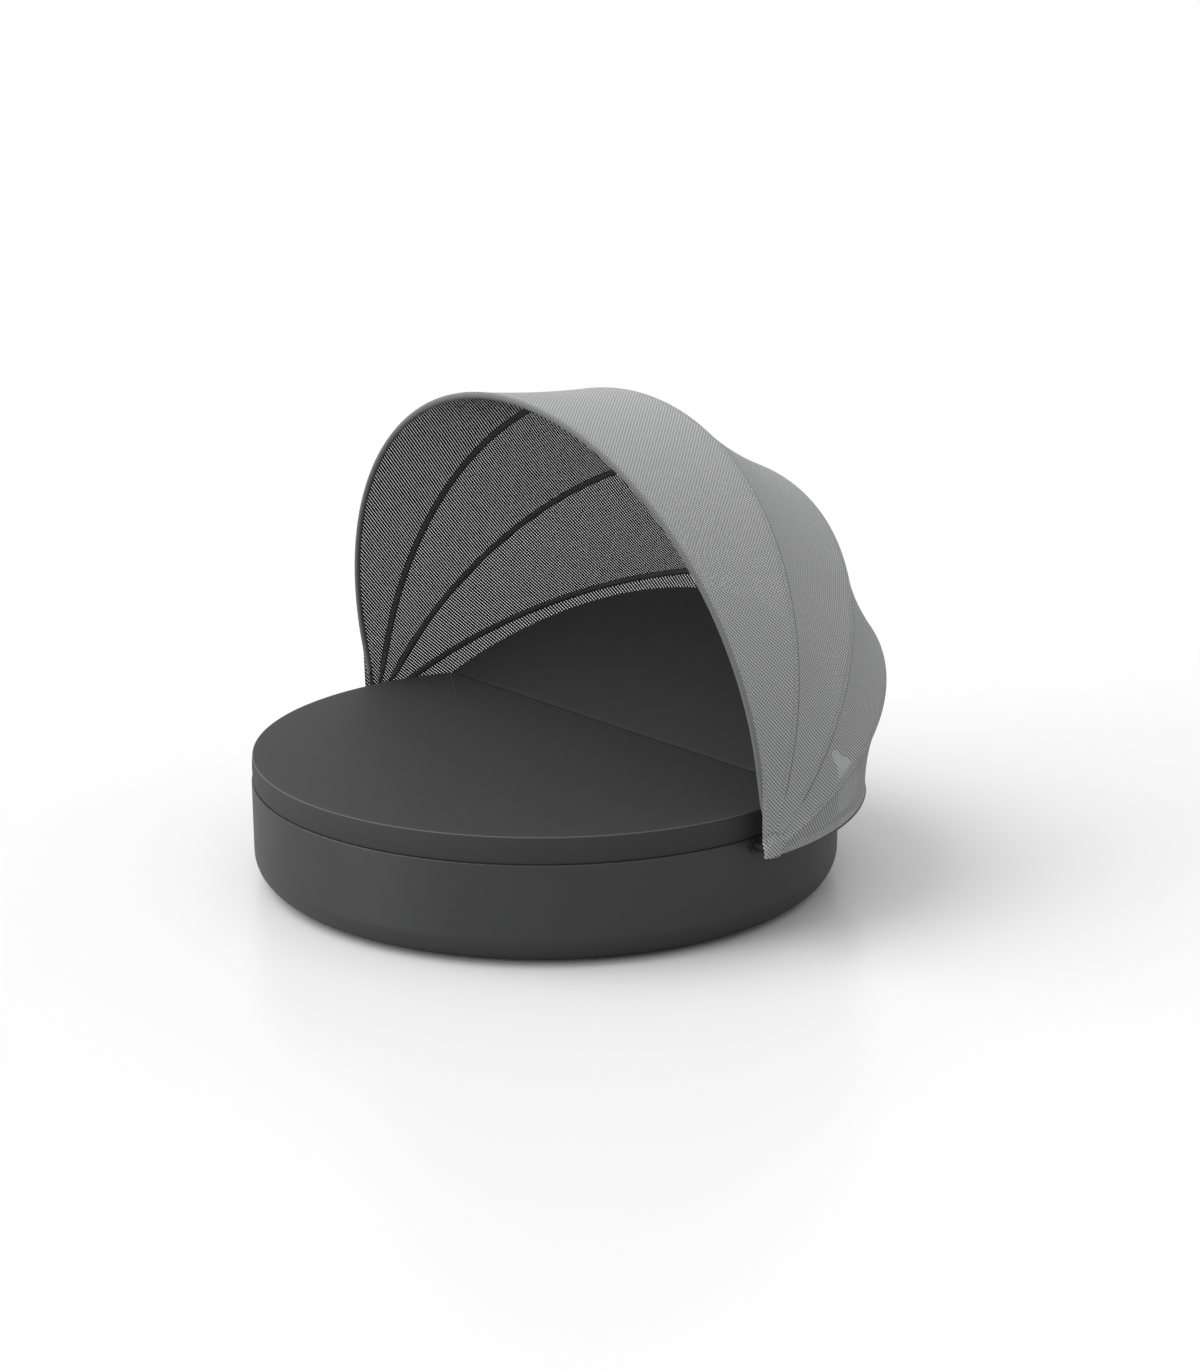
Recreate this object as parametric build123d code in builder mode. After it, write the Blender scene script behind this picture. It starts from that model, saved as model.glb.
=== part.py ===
"""Round outdoor bed: a low moulded tub, a round mattress in two parts and a folding hood of mesh.

Millimetres, +Z up. The origin is on the floor under the middle of the tub, +X runs along the fold of
the mattress and +Y points to the back, where the hood stands. The model stands as it is used: the
backrest is raised and the hood is open.
"""
from build123d import *
from math import asin, atan2, cos, degrees, hypot, pi, radians, sin, tan
import os

os.makedirs("parts", exist_ok=True)

# Bed
bed_radius = 1050  # mattress
base_height = 355  # floor to the underside of the mattress
mattress_height = 95
chord_setback = 320  # the fold of the mattress, behind the middle
backrest_angle = 35  # raised position, above flat
overrun = 10  # how far a cut runs past what it cuts

# Tub
tub_proud = 3  # the tub stands out this far past the mattress
tub_wall = 6
tub_corner = 95  # large rounding from wall to bottom
tub_rim_round = 2.5
glide_height = 4
glide_radius = 34
glide_inset = 130  # from the tub's wall to the middle of a glide
glide_count = 8
drain_setback = 300
drain_radius = 16
drain_head_radius = 22
drain_head_height = 2.5
drain_clearance = 0.3

# Deck
deck_thickness = 8
deck_clearance = 0.6
deck_rim_width = 46
board_thickness = 12
board_clearance = 2  # from the fold
board_side_clearance = 6  # the board swings back as it rises, so its sides need more room
board_corner_radius = 60
well_depth = 43  # below the underside of the backrest board
well_margin = 40  # ledge that carries the board
ledge_thickness = 8
ledge_clearance = 2
post_radius = 32
post_wall = 4
post_ring_share = 0.55  # place of the posts, share of the bed's radius
post_angles = (0, 180, 225, 270, 315)
well_post_shares = (0.32, 0.62)  # place of the two posts under the well, sideways and back
deck_screw_count = 24
deck_screw_length = 24
screw_radius = 2.4
screw_head_radius = 4.6
screw_head_height = 2.4
screw_clearance = 0.15

# Mattress
mattress_crown = 3
mattress_top_round = 8
mattress_bottom_round = 5
mattress_side_draw = 2  # the sides draw in this much below and above their middle
fold_gap = 0.6

# Hinges of the backrest
pivot_cover = 8  # hinge axis below the top of the mattress
hinge_place_shares = (-0.68, 0, 0.68)  # along the fold, share of the bed's radius
leaf_thickness = 5
leaf_gap = 1
leaf_boss_radius = 5.5
leaf_width = 12
leaf_foot_length = 52
leaf_foot_width = 40
leaf_screw_spacing = 22
leaf_screw_length = 11
hinge_pin_radius = 3
hinge_pin_head_radius = 4.8
hinge_pin_head = 1.6
running_clearance = 0.05
pocket_side = 3  # room beside the leaves in the foam
pocket_roof_gap = 1
pocket_screw_room = 3

# Prop of the backrest
prop_place = 300  # from the middle to the rail, along the fold
prop_pivot_share = 0.362  # from the fold to the prop's pivot, share of the board's depth
prop_pivot_drop = 11  # below the board
prop_end_room = 43  # from the lowered prop's foot to the wall of the well
prop_bar_width = 18
prop_bar_thickness = 5
prop_foot_height = 18  # above the floor of the well
prop_pin_radius = 5
prop_pin_head_radius = 6.8
prop_pin_head = 2
prop_side_gap = 1
crossbar_radius = 7
crossbar_share = 0.5
lug_thickness = 6
lug_round = 9
lug_foot_thickness = 4
lug_foot_length = 46
lug_foot_width = 34
rail_thickness = 6
rail_height = 33
rail_end_room = 14
rail_foot_width = 30
rail_foot_thickness = 4
knob_radius = 12
knob_length = 16
knob_lobe_radius = 3
knob_lobes = 6
slot_clearance = 0.3
slot_steps = 14

# Hood: five hoops that fan about one axis
hub_setback = 37  # the axis, behind the middle of the bed
hub_drop = 27  # the axis, below the mattress
hoop_angles = (99.8, 76.0, 50.8, 25.7, 0)  # front to back, above the horizontal at the back
hood_side_room = 59  # from the mattress to the middle of the rear hoop
front_hoop_step = 8  # the front hoop stands out this far past the rear one
front_hoop_leg = 290  # straight part of the front hoop, from the axis to the half circle
hoop_leg_shares = (1, 0.924, 0.783, 0.514, 0)
tube_radius = 10
tube_wall = 1.5
tube_start = 145  # from the axis
blade_thickness = 4
blade_width = 16
blade_plug = 40  # length of a blade inside its tube
blade_hub_radius = 15
washer_thickness = 0.9
washer_radius = 12
bolt_radius = 6
bolt_head_radius = 11
bolt_head_height = 5
bolt_grip = 30  # length of the bolt inside the bracket
rivet_radius = 2.5
rivet_head_radius = 4
rivet_head = 1
rivet_inset = 25  # from the end of the tube
sleeve_wall = 1.5
sleeve_clearance = 0.3
sleeve_start = 180  # from the axis
panel_thickness = 1.2
panel_gap = 0.9
panel_start = 60  # from the axis
panel_edge_angle = 24  # where a panel leaves its hoop, from straight outward
panel_sag_shares = (0.015, 0.035, 0.04, 0.04)  # share of the panel's width
panel_stations = 19
hem_drop = 26  # lower edge of the canopy, below the rear hoop
hem_thickness = 1.2
hem_gap = 0.4
hem_start = 32  # behind the axis
gusset_radius = 57
gusset_thickness = 2

# Hood brackets
bracket_flange_radius = 26
bracket_flange_height = 8
bracket_boss_radius = 15
bracket_seat_gap = 0.3
bracket_arm_length = 62
bracket_arm_height = 20
bracket_arm_thickness = 6
bracket_screw_ring = 20.5
bracket_screw_angles = (-30, -90, -150)
bracket_screw_length = 15
arm_screw_setback = 46

# Derived places
tub_radius = bed_radius + tub_proud
tub_floor = glide_height + tub_wall
mattress_top = base_height + mattress_height
deck_rim_height = board_thickness + deck_thickness
ledge_top = base_height - deck_rim_height
deck_radius = tub_radius - tub_wall - deck_clearance
rebate_radius = deck_radius - deck_thickness
well_radius = rebate_radius - well_margin
ledge_inner = well_radius + deck_thickness + ledge_clearance
board_under = base_height - board_thickness
well_floor = board_under - well_depth
pivot_z = mattress_top - pivot_cover
hub_height = base_height - hub_drop
rear_hoop_radius = bed_radius + hood_side_room
front_hoop_radius = rear_hoop_radius + front_hoop_step
stack_pitch = blade_thickness + washer_thickness + 2 * running_clearance
hoop_radii = [front_hoop_radius + stack_pitch * n for n in range(4)] + [rear_hoop_radius]
hoop_legs = [front_hoop_leg * share for share in hoop_leg_shares]
sleeve_radius = tube_radius + sleeve_clearance + sleeve_wall
stack_start = rear_hoop_radius - blade_thickness / 2
stack_end = hoop_radii[3] + blade_thickness / 2
head_start = stack_end + washer_thickness + 2 * running_clearance
hinge_places = [bed_radius * share for share in hinge_place_shares]
back_axis = Axis((0, chord_setback, pivot_z), (1, 0, 0))
screw_hole = screw_radius + screw_clearance


def add_screws(plane, places, length):
    """Countersunk screws, heads flush with the plane, pointing against its normal."""
    for x, y in places:
        spot = plane.from_local_coords((x, y, 0))
        with BuildSketch(Plane(origin=spot, x_dir=plane.x_dir, z_dir=-plane.y_dir)) as half:
            with BuildLine():
                Polyline(
                    (0, 0),
                    (screw_head_radius, 0),
                    (screw_radius, -screw_head_height),
                    (screw_radius, -length),
                    (0, -length),
                    (0, 0),
                )
            make_face()
        revolve(half.sketch, axis=Axis(spot, plane.z_dir))


def cut_screw_holes(plane, places, depth):
    """Countersunk holes for such screws."""
    for x, y in places:
        with Locations(plane.location * Location((x, y, 0))):
            CounterSinkHole(
                radius=screw_hole,
                counter_sink_radius=screw_head_radius + screw_clearance,
                depth=depth,
            )


def hole_at(plane, x, y, radius, depth):
    """Round hole into the part, down from a plane's point against its normal."""
    with BuildSketch(plane.offset(overrun)) as circle:
        with Locations((x, y)):
            Circle(radius)
    extrude(circle.sketch, amount=-(overrun + depth), mode=Mode.SUBTRACT)


def segment(radius, edge, behind):
    """Disc cut off along the line y = edge, keeping what is behind or in front of it."""
    Circle(radius)
    with Locations((0, edge - radius if behind else edge + radius)):
        Rectangle(2 * (radius + overrun), 2 * radius, mode=Mode.SUBTRACT)


def side_plane(side, x):
    """Upright plane at a side of the bed that faces outward; its origin is on the hood's axis."""
    return Plane(origin=(side * x, hub_setback, hub_height), x_dir=(0, side, 0), z_dir=(side, 0, 0))


def turned(y, z, angle):
    """A point of the flat backrest, turned up about the hinge axis."""
    reach, rise = y - chord_setback, z - pivot_z
    turn = radians(angle)
    return (
        chord_setback + reach * cos(turn) - rise * sin(turn),
        pivot_z + reach * sin(turn) + rise * cos(turn),
    )


# The tub: a moulded bowl with an inner ledge under its rim
def ring_places(radius, count):
    return [
        (radius * cos(2 * pi / count * (n + 1 / 2)), radius * sin(2 * pi / count * (n + 1 / 2)))
        for n in range(count)
    ]


glide_places = ring_places(tub_radius - glide_inset, glide_count) + [(0, 0)]
deck_screw_places = ring_places((ledge_inner + deck_radius) / 2, deck_screw_count)
front_screw_places = [p for p in deck_screw_places if p[1] < chord_setback - deck_rim_width]
rear_screw_places = [p for p in deck_screw_places if p[1] > chord_setback + deck_rim_width]
bracket_screw_places = [
    (bracket_screw_ring * cos(radians(turn)), bracket_screw_ring * sin(radians(turn)))
    for turn in bracket_screw_angles
]

with BuildPart() as base_tub:
    with BuildSketch(Plane.XZ):
        with BuildLine():
            Polyline((0, tub_floor), (0, glide_height), (tub_radius - tub_corner, glide_height))
            RadiusArc(
                (tub_radius - tub_corner, glide_height),
                (tub_radius, glide_height + tub_corner),
                -tub_corner,
            )
            Polyline(
                (tub_radius, glide_height + tub_corner),
                (tub_radius, base_height),
                (tub_radius - tub_wall, base_height),
                (tub_radius - tub_wall, ledge_top),
                (ledge_inner, ledge_top),
                (ledge_inner, ledge_top - ledge_thickness),
                (tub_radius - tub_wall, ledge_top - ledge_thickness),
                (tub_radius - tub_wall, glide_height + tub_corner),
            )
            RadiusArc(
                (tub_radius - tub_wall, glide_height + tub_corner),
                (tub_radius - tub_corner, tub_floor),
                tub_corner - tub_wall,
            )
            Line((tub_radius - tub_corner, tub_floor), (0, tub_floor))
        make_face()
    revolve(axis=Axis.Z)
    fillet(base_tub.edges().group_by(Axis.Z)[-1].sort_by(SortBy.LENGTH)[-1], radius=tub_rim_round)
    for x, y in front_screw_places + rear_screw_places:
        hole_at(Plane.XY.offset(ledge_top), x, y, screw_hole, ledge_thickness + overrun)
    cut_screw_holes(Plane.XY.offset(tub_floor), glide_places, tub_wall)
    hole_at(Plane.XY.offset(tub_floor), 0, -drain_setback, drain_radius + drain_clearance, tub_floor)
    for side in (1, -1):
        for x, y in bracket_screw_places:
            hole_at(side_plane(side, tub_radius), x, y, screw_hole, tub_wall * 3)
base_tub.part.label = "base_tub"
export_step(base_tub.part, "parts/base_tub.step")

with BuildPart() as glides:
    with BuildSketch():
        with Locations(glide_places):
            Circle(glide_radius)
    extrude(amount=glide_height)
    fillet(glides.edges().group_by(Axis.Z)[0], radius=glide_height / 4)
    for x, y in glide_places:
        hole_at(Plane.XY.offset(glide_height), x, y, screw_hole, glide_height * 3 / 4)
glides.part.label = "glides"
export_step(glides.part, "parts/glides.step")

with BuildPart() as glide_screws:
    add_screws(Plane.XY.offset(tub_floor), glide_places, tub_wall + glide_height / 2)
glide_screws.part.label = "glide_screws"
export_step(glide_screws.part, "parts/glide_screws.step")

with BuildPart() as drain_plug:
    drain_plane = Plane.XY.offset(glide_height - drain_head_height)
    with BuildSketch(drain_plane):
        with Locations((0, -drain_setback)):
            Circle(drain_head_radius)
    extrude(amount=drain_head_height)
    with BuildSketch(Plane.XY.offset(glide_height)):
        with Locations((0, -drain_setback)):
            Circle(drain_radius)
    extrude(amount=2 * tub_wall)
    with BuildSketch(drain_plane):
        with Locations((0, -drain_setback)):
            Rectangle(drain_head_radius, drain_head_height)
    extrude(amount=drain_head_height / 2, mode=Mode.SUBTRACT)
drain_plug.part.label = "drain_plug"
export_step(drain_plug.part, "parts/drain_plug.step")


# The deck: a plate with a well behind the fold, where the lowered board and its prop lie
front_leaf_screws = [
    (place + step * leaf_screw_spacing / 2, chord_setback - leaf_foot_length * 2 / 3)
    for place in hinge_places
    for step in (1, -1)
]
board_depth = rebate_radius - chord_setback
prop_pivot = (chord_setback + prop_pivot_share * board_depth, board_under - prop_pivot_drop)
foot_level = well_floor + prop_foot_height
foot_flat = (well_radius**2 - prop_place**2) ** (1 / 2) - prop_end_room
prop_length = hypot(foot_flat - prop_pivot[0], prop_pivot[1] - foot_level)
pivot_raised = turned(*prop_pivot, backrest_angle)
lean_raised = asin((pivot_raised[1] - foot_level) / prop_length)
lean_flat = asin((prop_pivot[1] - foot_level) / prop_length)


def foot_at(angle):
    """Place of the prop's foot with the backrest at an angle; the prop turns in step with it."""
    y, z = turned(*prop_pivot, angle)
    lean = lean_flat + (lean_raised - lean_flat) * angle / backrest_angle
    return (y + prop_length * cos(lean), z - prop_length * sin(lean))


foot_path = [foot_at(backrest_angle * n / slot_steps) for n in range(slot_steps + 1)]
foot_raised = foot_path[-1]
rail_front = min(y for y, z in foot_path) - rail_end_room
rail_back = max(y for y, z in foot_path) + rail_end_room
rail_inner = prop_place - rail_thickness
rail_foot_middle = rail_inner - rail_foot_width / 2
rail_screws = [
    (side * rail_foot_middle, y)
    for side in (1, -1)
    for y in (rail_front + rail_end_room, rail_back - rail_end_room)
]

with BuildPart() as deck:
    with BuildSketch(Plane.XY.offset(ledge_top)):
        Circle(deck_radius)
    extrude(amount=deck_rim_height)
    with BuildSketch(Plane.XY.offset(ledge_top)):
        segment(deck_radius - deck_rim_width, chord_setback - deck_thickness, behind=False)
    extrude(amount=deck_rim_height - deck_thickness, mode=Mode.SUBTRACT)
    with BuildSketch(Plane.XY.offset(well_floor - deck_thickness)):
        segment(well_radius + deck_thickness, chord_setback - deck_thickness, behind=True)
    extrude(amount=ledge_top - well_floor + deck_thickness)
    with BuildSketch(Plane.XY.offset(well_floor)):
        segment(well_radius, chord_setback, behind=True)
    extrude(amount=base_height - well_floor, mode=Mode.SUBTRACT)
    with BuildSketch(Plane.XY.offset(board_under)):
        segment(rebate_radius, chord_setback, behind=True)
    extrude(amount=board_thickness, mode=Mode.SUBTRACT)
    cut_screw_holes(Plane.XY.offset(base_height), front_screw_places, deck_rim_height)
    cut_screw_holes(Plane.XY.offset(board_under), rear_screw_places, deck_rim_height)
    for x, y in front_leaf_screws:
        hole_at(Plane.XY.offset(base_height), x, y, screw_hole, deck_thickness)
    for x, y in rail_screws:
        hole_at(Plane.XY.offset(well_floor), x, y, screw_hole, deck_thickness)
deck.part.label = "deck"
export_step(deck.part, "parts/deck.step")

with BuildPart() as deck_screws:
    add_screws(Plane.XY.offset(base_height), front_screw_places, deck_screw_length)
    add_screws(Plane.XY.offset(board_under), rear_screw_places, deck_screw_length)
deck_screws.part.label = "deck_screws"
export_step(deck_screws.part, "parts/deck_screws.step")

post_ring = bed_radius * post_ring_share
front_posts = [
    (post_ring * cos(radians(turn)), post_ring * sin(radians(turn))) for turn in post_angles
]
well_posts = [
    (side * bed_radius * well_post_shares[0], bed_radius * well_post_shares[1]) for side in (1, -1)
]
with BuildPart() as deck_posts:
    for places, top in ((front_posts, base_height), (well_posts, well_floor)):
        with BuildSketch(Plane.XY.offset(tub_floor)):
            with Locations(places):
                Circle(post_radius)
                Circle(post_radius - post_wall, mode=Mode.SUBTRACT)
        extrude(amount=top - deck_thickness - tub_floor)
deck_posts.part.label = "deck_posts"
export_step(deck_posts.part, "parts/deck_posts.step")


# The mattress: a round pad cut along the fold
pocket_half = leaf_gap / 2 + leaf_thickness + hinge_pin_head + pocket_side
pocket_top = pivot_z + leaf_boss_radius + pocket_roof_gap
crown_edge = bed_radius - mattress_side_draw - mattress_top_round
crown_radius = (crown_edge**2 + mattress_crown**2) / (2 * mattress_crown)
# the sharp tips of the rear part are cut square to its side, where the fold's bevel ends
tip_setback = chord_setback + (mattress_top - pivot_z) * tan(radians(backrest_angle))
tip_turn = asin((tip_setback + mattress_side_draw) / crown_edge)


def mattress_half(way):
    """One part of the round pad: way is -1 in front of the fold and 1 behind it."""
    drawn = bed_radius - mattress_side_draw
    start = tip_turn if way > 0 else 0
    side = Plane(
        origin=(0, 0, 0), x_dir=(cos(start), sin(start), 0), z_dir=(sin(start), -cos(start), 0)
    )
    with BuildSketch(side) as half:
        with BuildLine():
            Polyline(
                (0, mattress_top + mattress_crown),
                (0, base_height),
                (drawn - mattress_bottom_round, base_height),
            )
            RadiusArc(
                (drawn - mattress_bottom_round, base_height),
                (drawn, base_height + mattress_bottom_round),
                -mattress_bottom_round,
            )
            ThreePointArc(
                (drawn, base_height + mattress_bottom_round),
                (bed_radius, (base_height + mattress_top) / 2),
                (drawn, mattress_top - mattress_top_round),
            )
            RadiusArc(
                (drawn, mattress_top - mattress_top_round),
                (crown_edge, mattress_top),
                -mattress_top_round,
            )
            RadiusArc((crown_edge, mattress_top), (0, mattress_top + mattress_crown), -crown_radius)
        make_face()
    revolve(half.sketch, axis=Axis.Z, revolution_arc=180 - 2 * degrees(start) if way > 0 else 360)
    fold_face = Plane(
        origin=(0, chord_setback + way * fold_gap / 2, 0), x_dir=(1, 0, 0), z_dir=(0, way, 0)
    )
    split(bisect_by=fold_face, keep=Keep.TOP)
    for place in hinge_places:
        with BuildSketch(Plane.XY.offset(base_height)) as arms:
            with Locations((place, chord_setback)):
                Rectangle(2 * pocket_half, 2 * (leaf_width + pocket_side))
        extrude(arms.sketch, amount=pocket_top - base_height, mode=Mode.SUBTRACT)
        with BuildSketch(Plane.XY.offset(base_height)) as feet:
            with Locations((place, chord_setback)):
                Rectangle(leaf_foot_width + 2 * pocket_side, 2 * (leaf_foot_length + pocket_side))
        extrude(feet.sketch, amount=leaf_thickness + pocket_screw_room, mode=Mode.SUBTRACT)


with BuildPart() as seat_cushion:
    mattress_half(-1)
seat_cushion.part.label = "seat_cushion"
export_step(seat_cushion.part, "parts/seat_cushion.step")

with BuildPart() as flat_cushion:
    mattress_half(1)
with BuildPart() as backrest_cushion:
    add(flat_cushion.part.rotate(back_axis, backrest_angle))
    # above the axis the fold's face is cut upright, so that it closes on the seat when raised
    with BuildSketch():
        with Locations((0, chord_setback + fold_gap / 2 - bed_radius)):
            Rectangle(2 * (bed_radius + overrun), 2 * bed_radius)
    extrude(amount=2 * mattress_top, mode=Mode.SUBTRACT)
backrest_cushion.part.label = "backrest_cushion"
export_step(backrest_cushion.part, "parts/backrest_cushion.step")


# The backrest board, made in its lowered place and then raised
back_leaf_screws = [(x, 2 * chord_setback - y) for x, y in front_leaf_screws]
lug_middle = prop_place - lug_foot_width / 2
lug_screws = [
    (side * (lug_middle - lug_thickness / 2), prop_pivot[0] + step * lug_foot_length / 3)
    for side in (1, -1)
    for step in (1, -1)
]
with BuildPart() as flat_board:
    with BuildSketch(Plane.XY.offset(board_under)):
        segment(rebate_radius - board_side_clearance, chord_setback + board_clearance, behind=True)
    extrude(amount=board_thickness)
    fillet(flat_board.edges().filter_by(Axis.Z), radius=board_corner_radius)
    for x, y in back_leaf_screws + lug_screws:
        hole_at(Plane.XY.offset(base_height), x, y, screw_hole, board_thickness)
with BuildPart() as backrest_board:
    add(flat_board.part.rotate(back_axis, backrest_angle))
backrest_board.part.label = "backrest_board"
export_step(backrest_board.part, "parts/backrest_board.step")


# Hinges: one leaf stands on the deck, the other on the board; the pin lies under the mattress top
def hinge_leaf(place, way):
    """A leaf with its foot; way is -1 for the deck's leaf and 1 for the board's."""
    inner = leaf_gap / 2 if way < 0 else -leaf_gap / 2 - leaf_thickness
    arm_edge = chord_setback + way * fold_gap / 2
    arm_back = chord_setback + way * leaf_width
    foot_end = chord_setback + way * leaf_foot_length
    with BuildSketch(Plane.YZ.offset(place + inner)) as arm:
        with Locations((chord_setback, pivot_z)):
            Circle(leaf_boss_radius)
        with Locations(((arm_edge + arm_back) / 2, (base_height + pivot_z) / 2)):
            Rectangle(abs(arm_back - arm_edge), pivot_z - base_height)
        with Locations((chord_setback, pivot_z)):
            Circle(hinge_pin_radius + running_clearance, mode=Mode.SUBTRACT)
    extrude(arm.sketch, amount=leaf_thickness)
    with BuildSketch(Plane.XY.offset(base_height)) as foot:
        with Locations((place, (arm_edge + foot_end) / 2)):
            RectangleRounded(leaf_foot_width, abs(foot_end - arm_edge), leaf_thickness)
    extrude(foot.sketch, amount=leaf_thickness)


foot_top = Plane.XY.offset(base_height + leaf_thickness)
with BuildPart() as seat_hinge_leaves:
    for place in hinge_places:
        hinge_leaf(place, -1)
    cut_screw_holes(foot_top, front_leaf_screws, leaf_thickness)
seat_hinge_leaves.part.label = "seat_hinge_leaves"
export_step(seat_hinge_leaves.part, "parts/seat_hinge_leaves.step")

with BuildPart() as seat_hinge_screws:
    add_screws(foot_top, front_leaf_screws, leaf_screw_length)
seat_hinge_screws.part.label = "seat_hinge_screws"
export_step(seat_hinge_screws.part, "parts/seat_hinge_screws.step")

with BuildPart() as flat_leaves:
    for place in hinge_places:
        hinge_leaf(place, 1)
    cut_screw_holes(foot_top, back_leaf_screws, leaf_thickness)
with BuildPart() as backrest_hinge_leaves:
    add(flat_leaves.part.rotate(back_axis, backrest_angle))
backrest_hinge_leaves.part.label = "backrest_hinge_leaves"
export_step(backrest_hinge_leaves.part, "parts/backrest_hinge_leaves.step")

with BuildPart() as flat_leaf_screws:
    add_screws(foot_top, back_leaf_screws, leaf_screw_length)
with BuildPart() as backrest_hinge_screws:
    add(flat_leaf_screws.part.rotate(back_axis, backrest_angle))
backrest_hinge_screws.part.label = "backrest_hinge_screws"
export_step(backrest_hinge_screws.part, "parts/backrest_hinge_screws.step")

pin_half = leaf_gap / 2 + leaf_thickness + running_clearance
with BuildPart() as hinge_pins:
    for place in hinge_places:
        for start, length, radius in (
            (-pin_half - hinge_pin_head, hinge_pin_head, hinge_pin_head_radius),
            (-pin_half, 2 * pin_half, hinge_pin_radius),
            (pin_half, hinge_pin_head, hinge_pin_head_radius),
        ):
            with BuildSketch(Plane.YZ.offset(place + start)):
                with Locations((chord_setback, pivot_z)):
                    Circle(radius)
            extrude(amount=length)
hinge_pins.part.label = "hinge_pins"
export_step(hinge_pins.part, "parts/hinge_pins.step")


# The prop: two bars hinged under the board, whose foot pins run in slotted rails in the well
def both_sides(x):
    """The two upright planes at this distance from the middle, facing outward, each with its side."""
    return [
        (side, Plane(origin=(side * x, 0, 0), x_dir=(0, side, 0), z_dir=(side, 0, 0))) for side in (1, -1)
    ]


def bars_along_x(centre, start, end, radius):
    """Round bars at both sides, along the fold, from start to end from the middle."""
    for side, plane in both_sides(start):
        with BuildSketch(plane) as bar:
            with Locations((side * centre[0], centre[1])):
                Circle(radius)
        extrude(bar.sketch, amount=end - start)


with BuildPart() as flat_lugs:
    for side, plane in both_sides(prop_place - lug_thickness):
        with BuildSketch(plane):
            with Locations((side * prop_pivot[0], prop_pivot[1])):
                Circle(lug_round)
            with Locations((side * prop_pivot[0], (prop_pivot[1] + board_under) / 2)):
                Rectangle(2 * lug_round, board_under - prop_pivot[1])
            with Locations((side * prop_pivot[0], prop_pivot[1])):
                Circle(prop_pin_radius + running_clearance, mode=Mode.SUBTRACT)
        extrude(amount=lug_thickness)
    with BuildSketch(Plane.XY.offset(board_under - lug_foot_thickness)):
        with Locations((lug_middle, prop_pivot[0]), (-lug_middle, prop_pivot[0])):
            Rectangle(lug_foot_width, lug_foot_length)
    extrude(amount=lug_foot_thickness)
    for x, y in lug_screws:
        with Locations(Location((x, y, board_under - lug_foot_thickness), (180, 0, 0))):
            CounterSinkHole(
                radius=screw_hole,
                counter_sink_radius=screw_head_radius + screw_clearance,
                depth=lug_foot_thickness,
            )
with BuildPart() as prop_lugs:
    add(flat_lugs.part.rotate(back_axis, backrest_angle))
prop_lugs.part.label = "prop_lugs"
export_step(prop_lugs.part, "parts/prop_lugs.step")

lug_screw_plane = Plane(
    origin=(0, 0, board_under - lug_foot_thickness), x_dir=(1, 0, 0), z_dir=(0, 0, -1)
)
with BuildPart() as flat_lug_screws:
    add_screws(lug_screw_plane, [(x, -y) for x, y in lug_screws], leaf_screw_length)
with BuildPart() as prop_lug_screws:
    add(flat_lug_screws.part.rotate(back_axis, backrest_angle))
prop_lug_screws.part.label = "prop_lug_screws"
export_step(prop_lug_screws.part, "parts/prop_lug_screws.step")

bar_inner = prop_place + prop_side_gap
bar_outer = bar_inner + prop_bar_thickness
lug_inner = prop_place - lug_thickness
with BuildPart() as prop_pivot_pins:
    pin_start = lug_inner - running_clearance
    pin_end = bar_outer + running_clearance
    bars_along_x(pivot_raised, pin_start - prop_pin_head, pin_start, prop_pin_head_radius)
    bars_along_x(pivot_raised, pin_start, pin_end, prop_pin_radius)
    bars_along_x(pivot_raised, pin_end, pin_end + prop_pin_head, prop_pin_head_radius)
prop_pivot_pins.part.label = "prop_pivot_pins"
export_step(prop_pivot_pins.part, "parts/prop_pivot_pins.step")

bar_middle = ((pivot_raised[0] + foot_raised[0]) / 2, (pivot_raised[1] + foot_raised[1]) / 2)
with BuildPart() as prop_bars:
    for side, plane in both_sides(bar_inner):
        with BuildSketch(plane):
            with Locations((side * bar_middle[0], bar_middle[1])):
                SlotCenterToCenter(
                    prop_length, prop_bar_width, rotation=-side * degrees(lean_raised)
                )
            with Locations(
                (side * pivot_raised[0], pivot_raised[1]), (side * foot_raised[0], foot_raised[1])
            ):
                Circle(prop_pin_radius + running_clearance, mode=Mode.SUBTRACT)
        extrude(amount=prop_bar_thickness)
prop_bars.part.label = "prop_bars"
export_step(prop_bars.part, "parts/prop_bars.step")

bar_spot = (
    pivot_raised[0] + crossbar_share * (foot_raised[0] - pivot_raised[0]),
    pivot_raised[1] + crossbar_share * (foot_raised[1] - pivot_raised[1]),
)
with BuildPart() as prop_crossbar:
    with BuildSketch(Plane.YZ.offset(-bar_inner)):
        with Locations(bar_spot):
            Circle(crossbar_radius)
    extrude(amount=2 * bar_inner)
prop_crossbar.part.label = "prop_crossbar"
export_step(prop_crossbar.part, "parts/prop_crossbar.step")

pin_inner = rail_inner - running_clearance
with BuildPart() as prop_foot_pins:
    bars_along_x(foot_raised, pin_inner - prop_pin_head, pin_inner, prop_pin_head_radius)
    bars_along_x(foot_raised, pin_inner, bar_outer + prop_pin_head, prop_pin_radius)
prop_foot_pins.part.label = "prop_foot_pins"
export_step(prop_foot_pins.part, "parts/prop_foot_pins.step")

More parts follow.
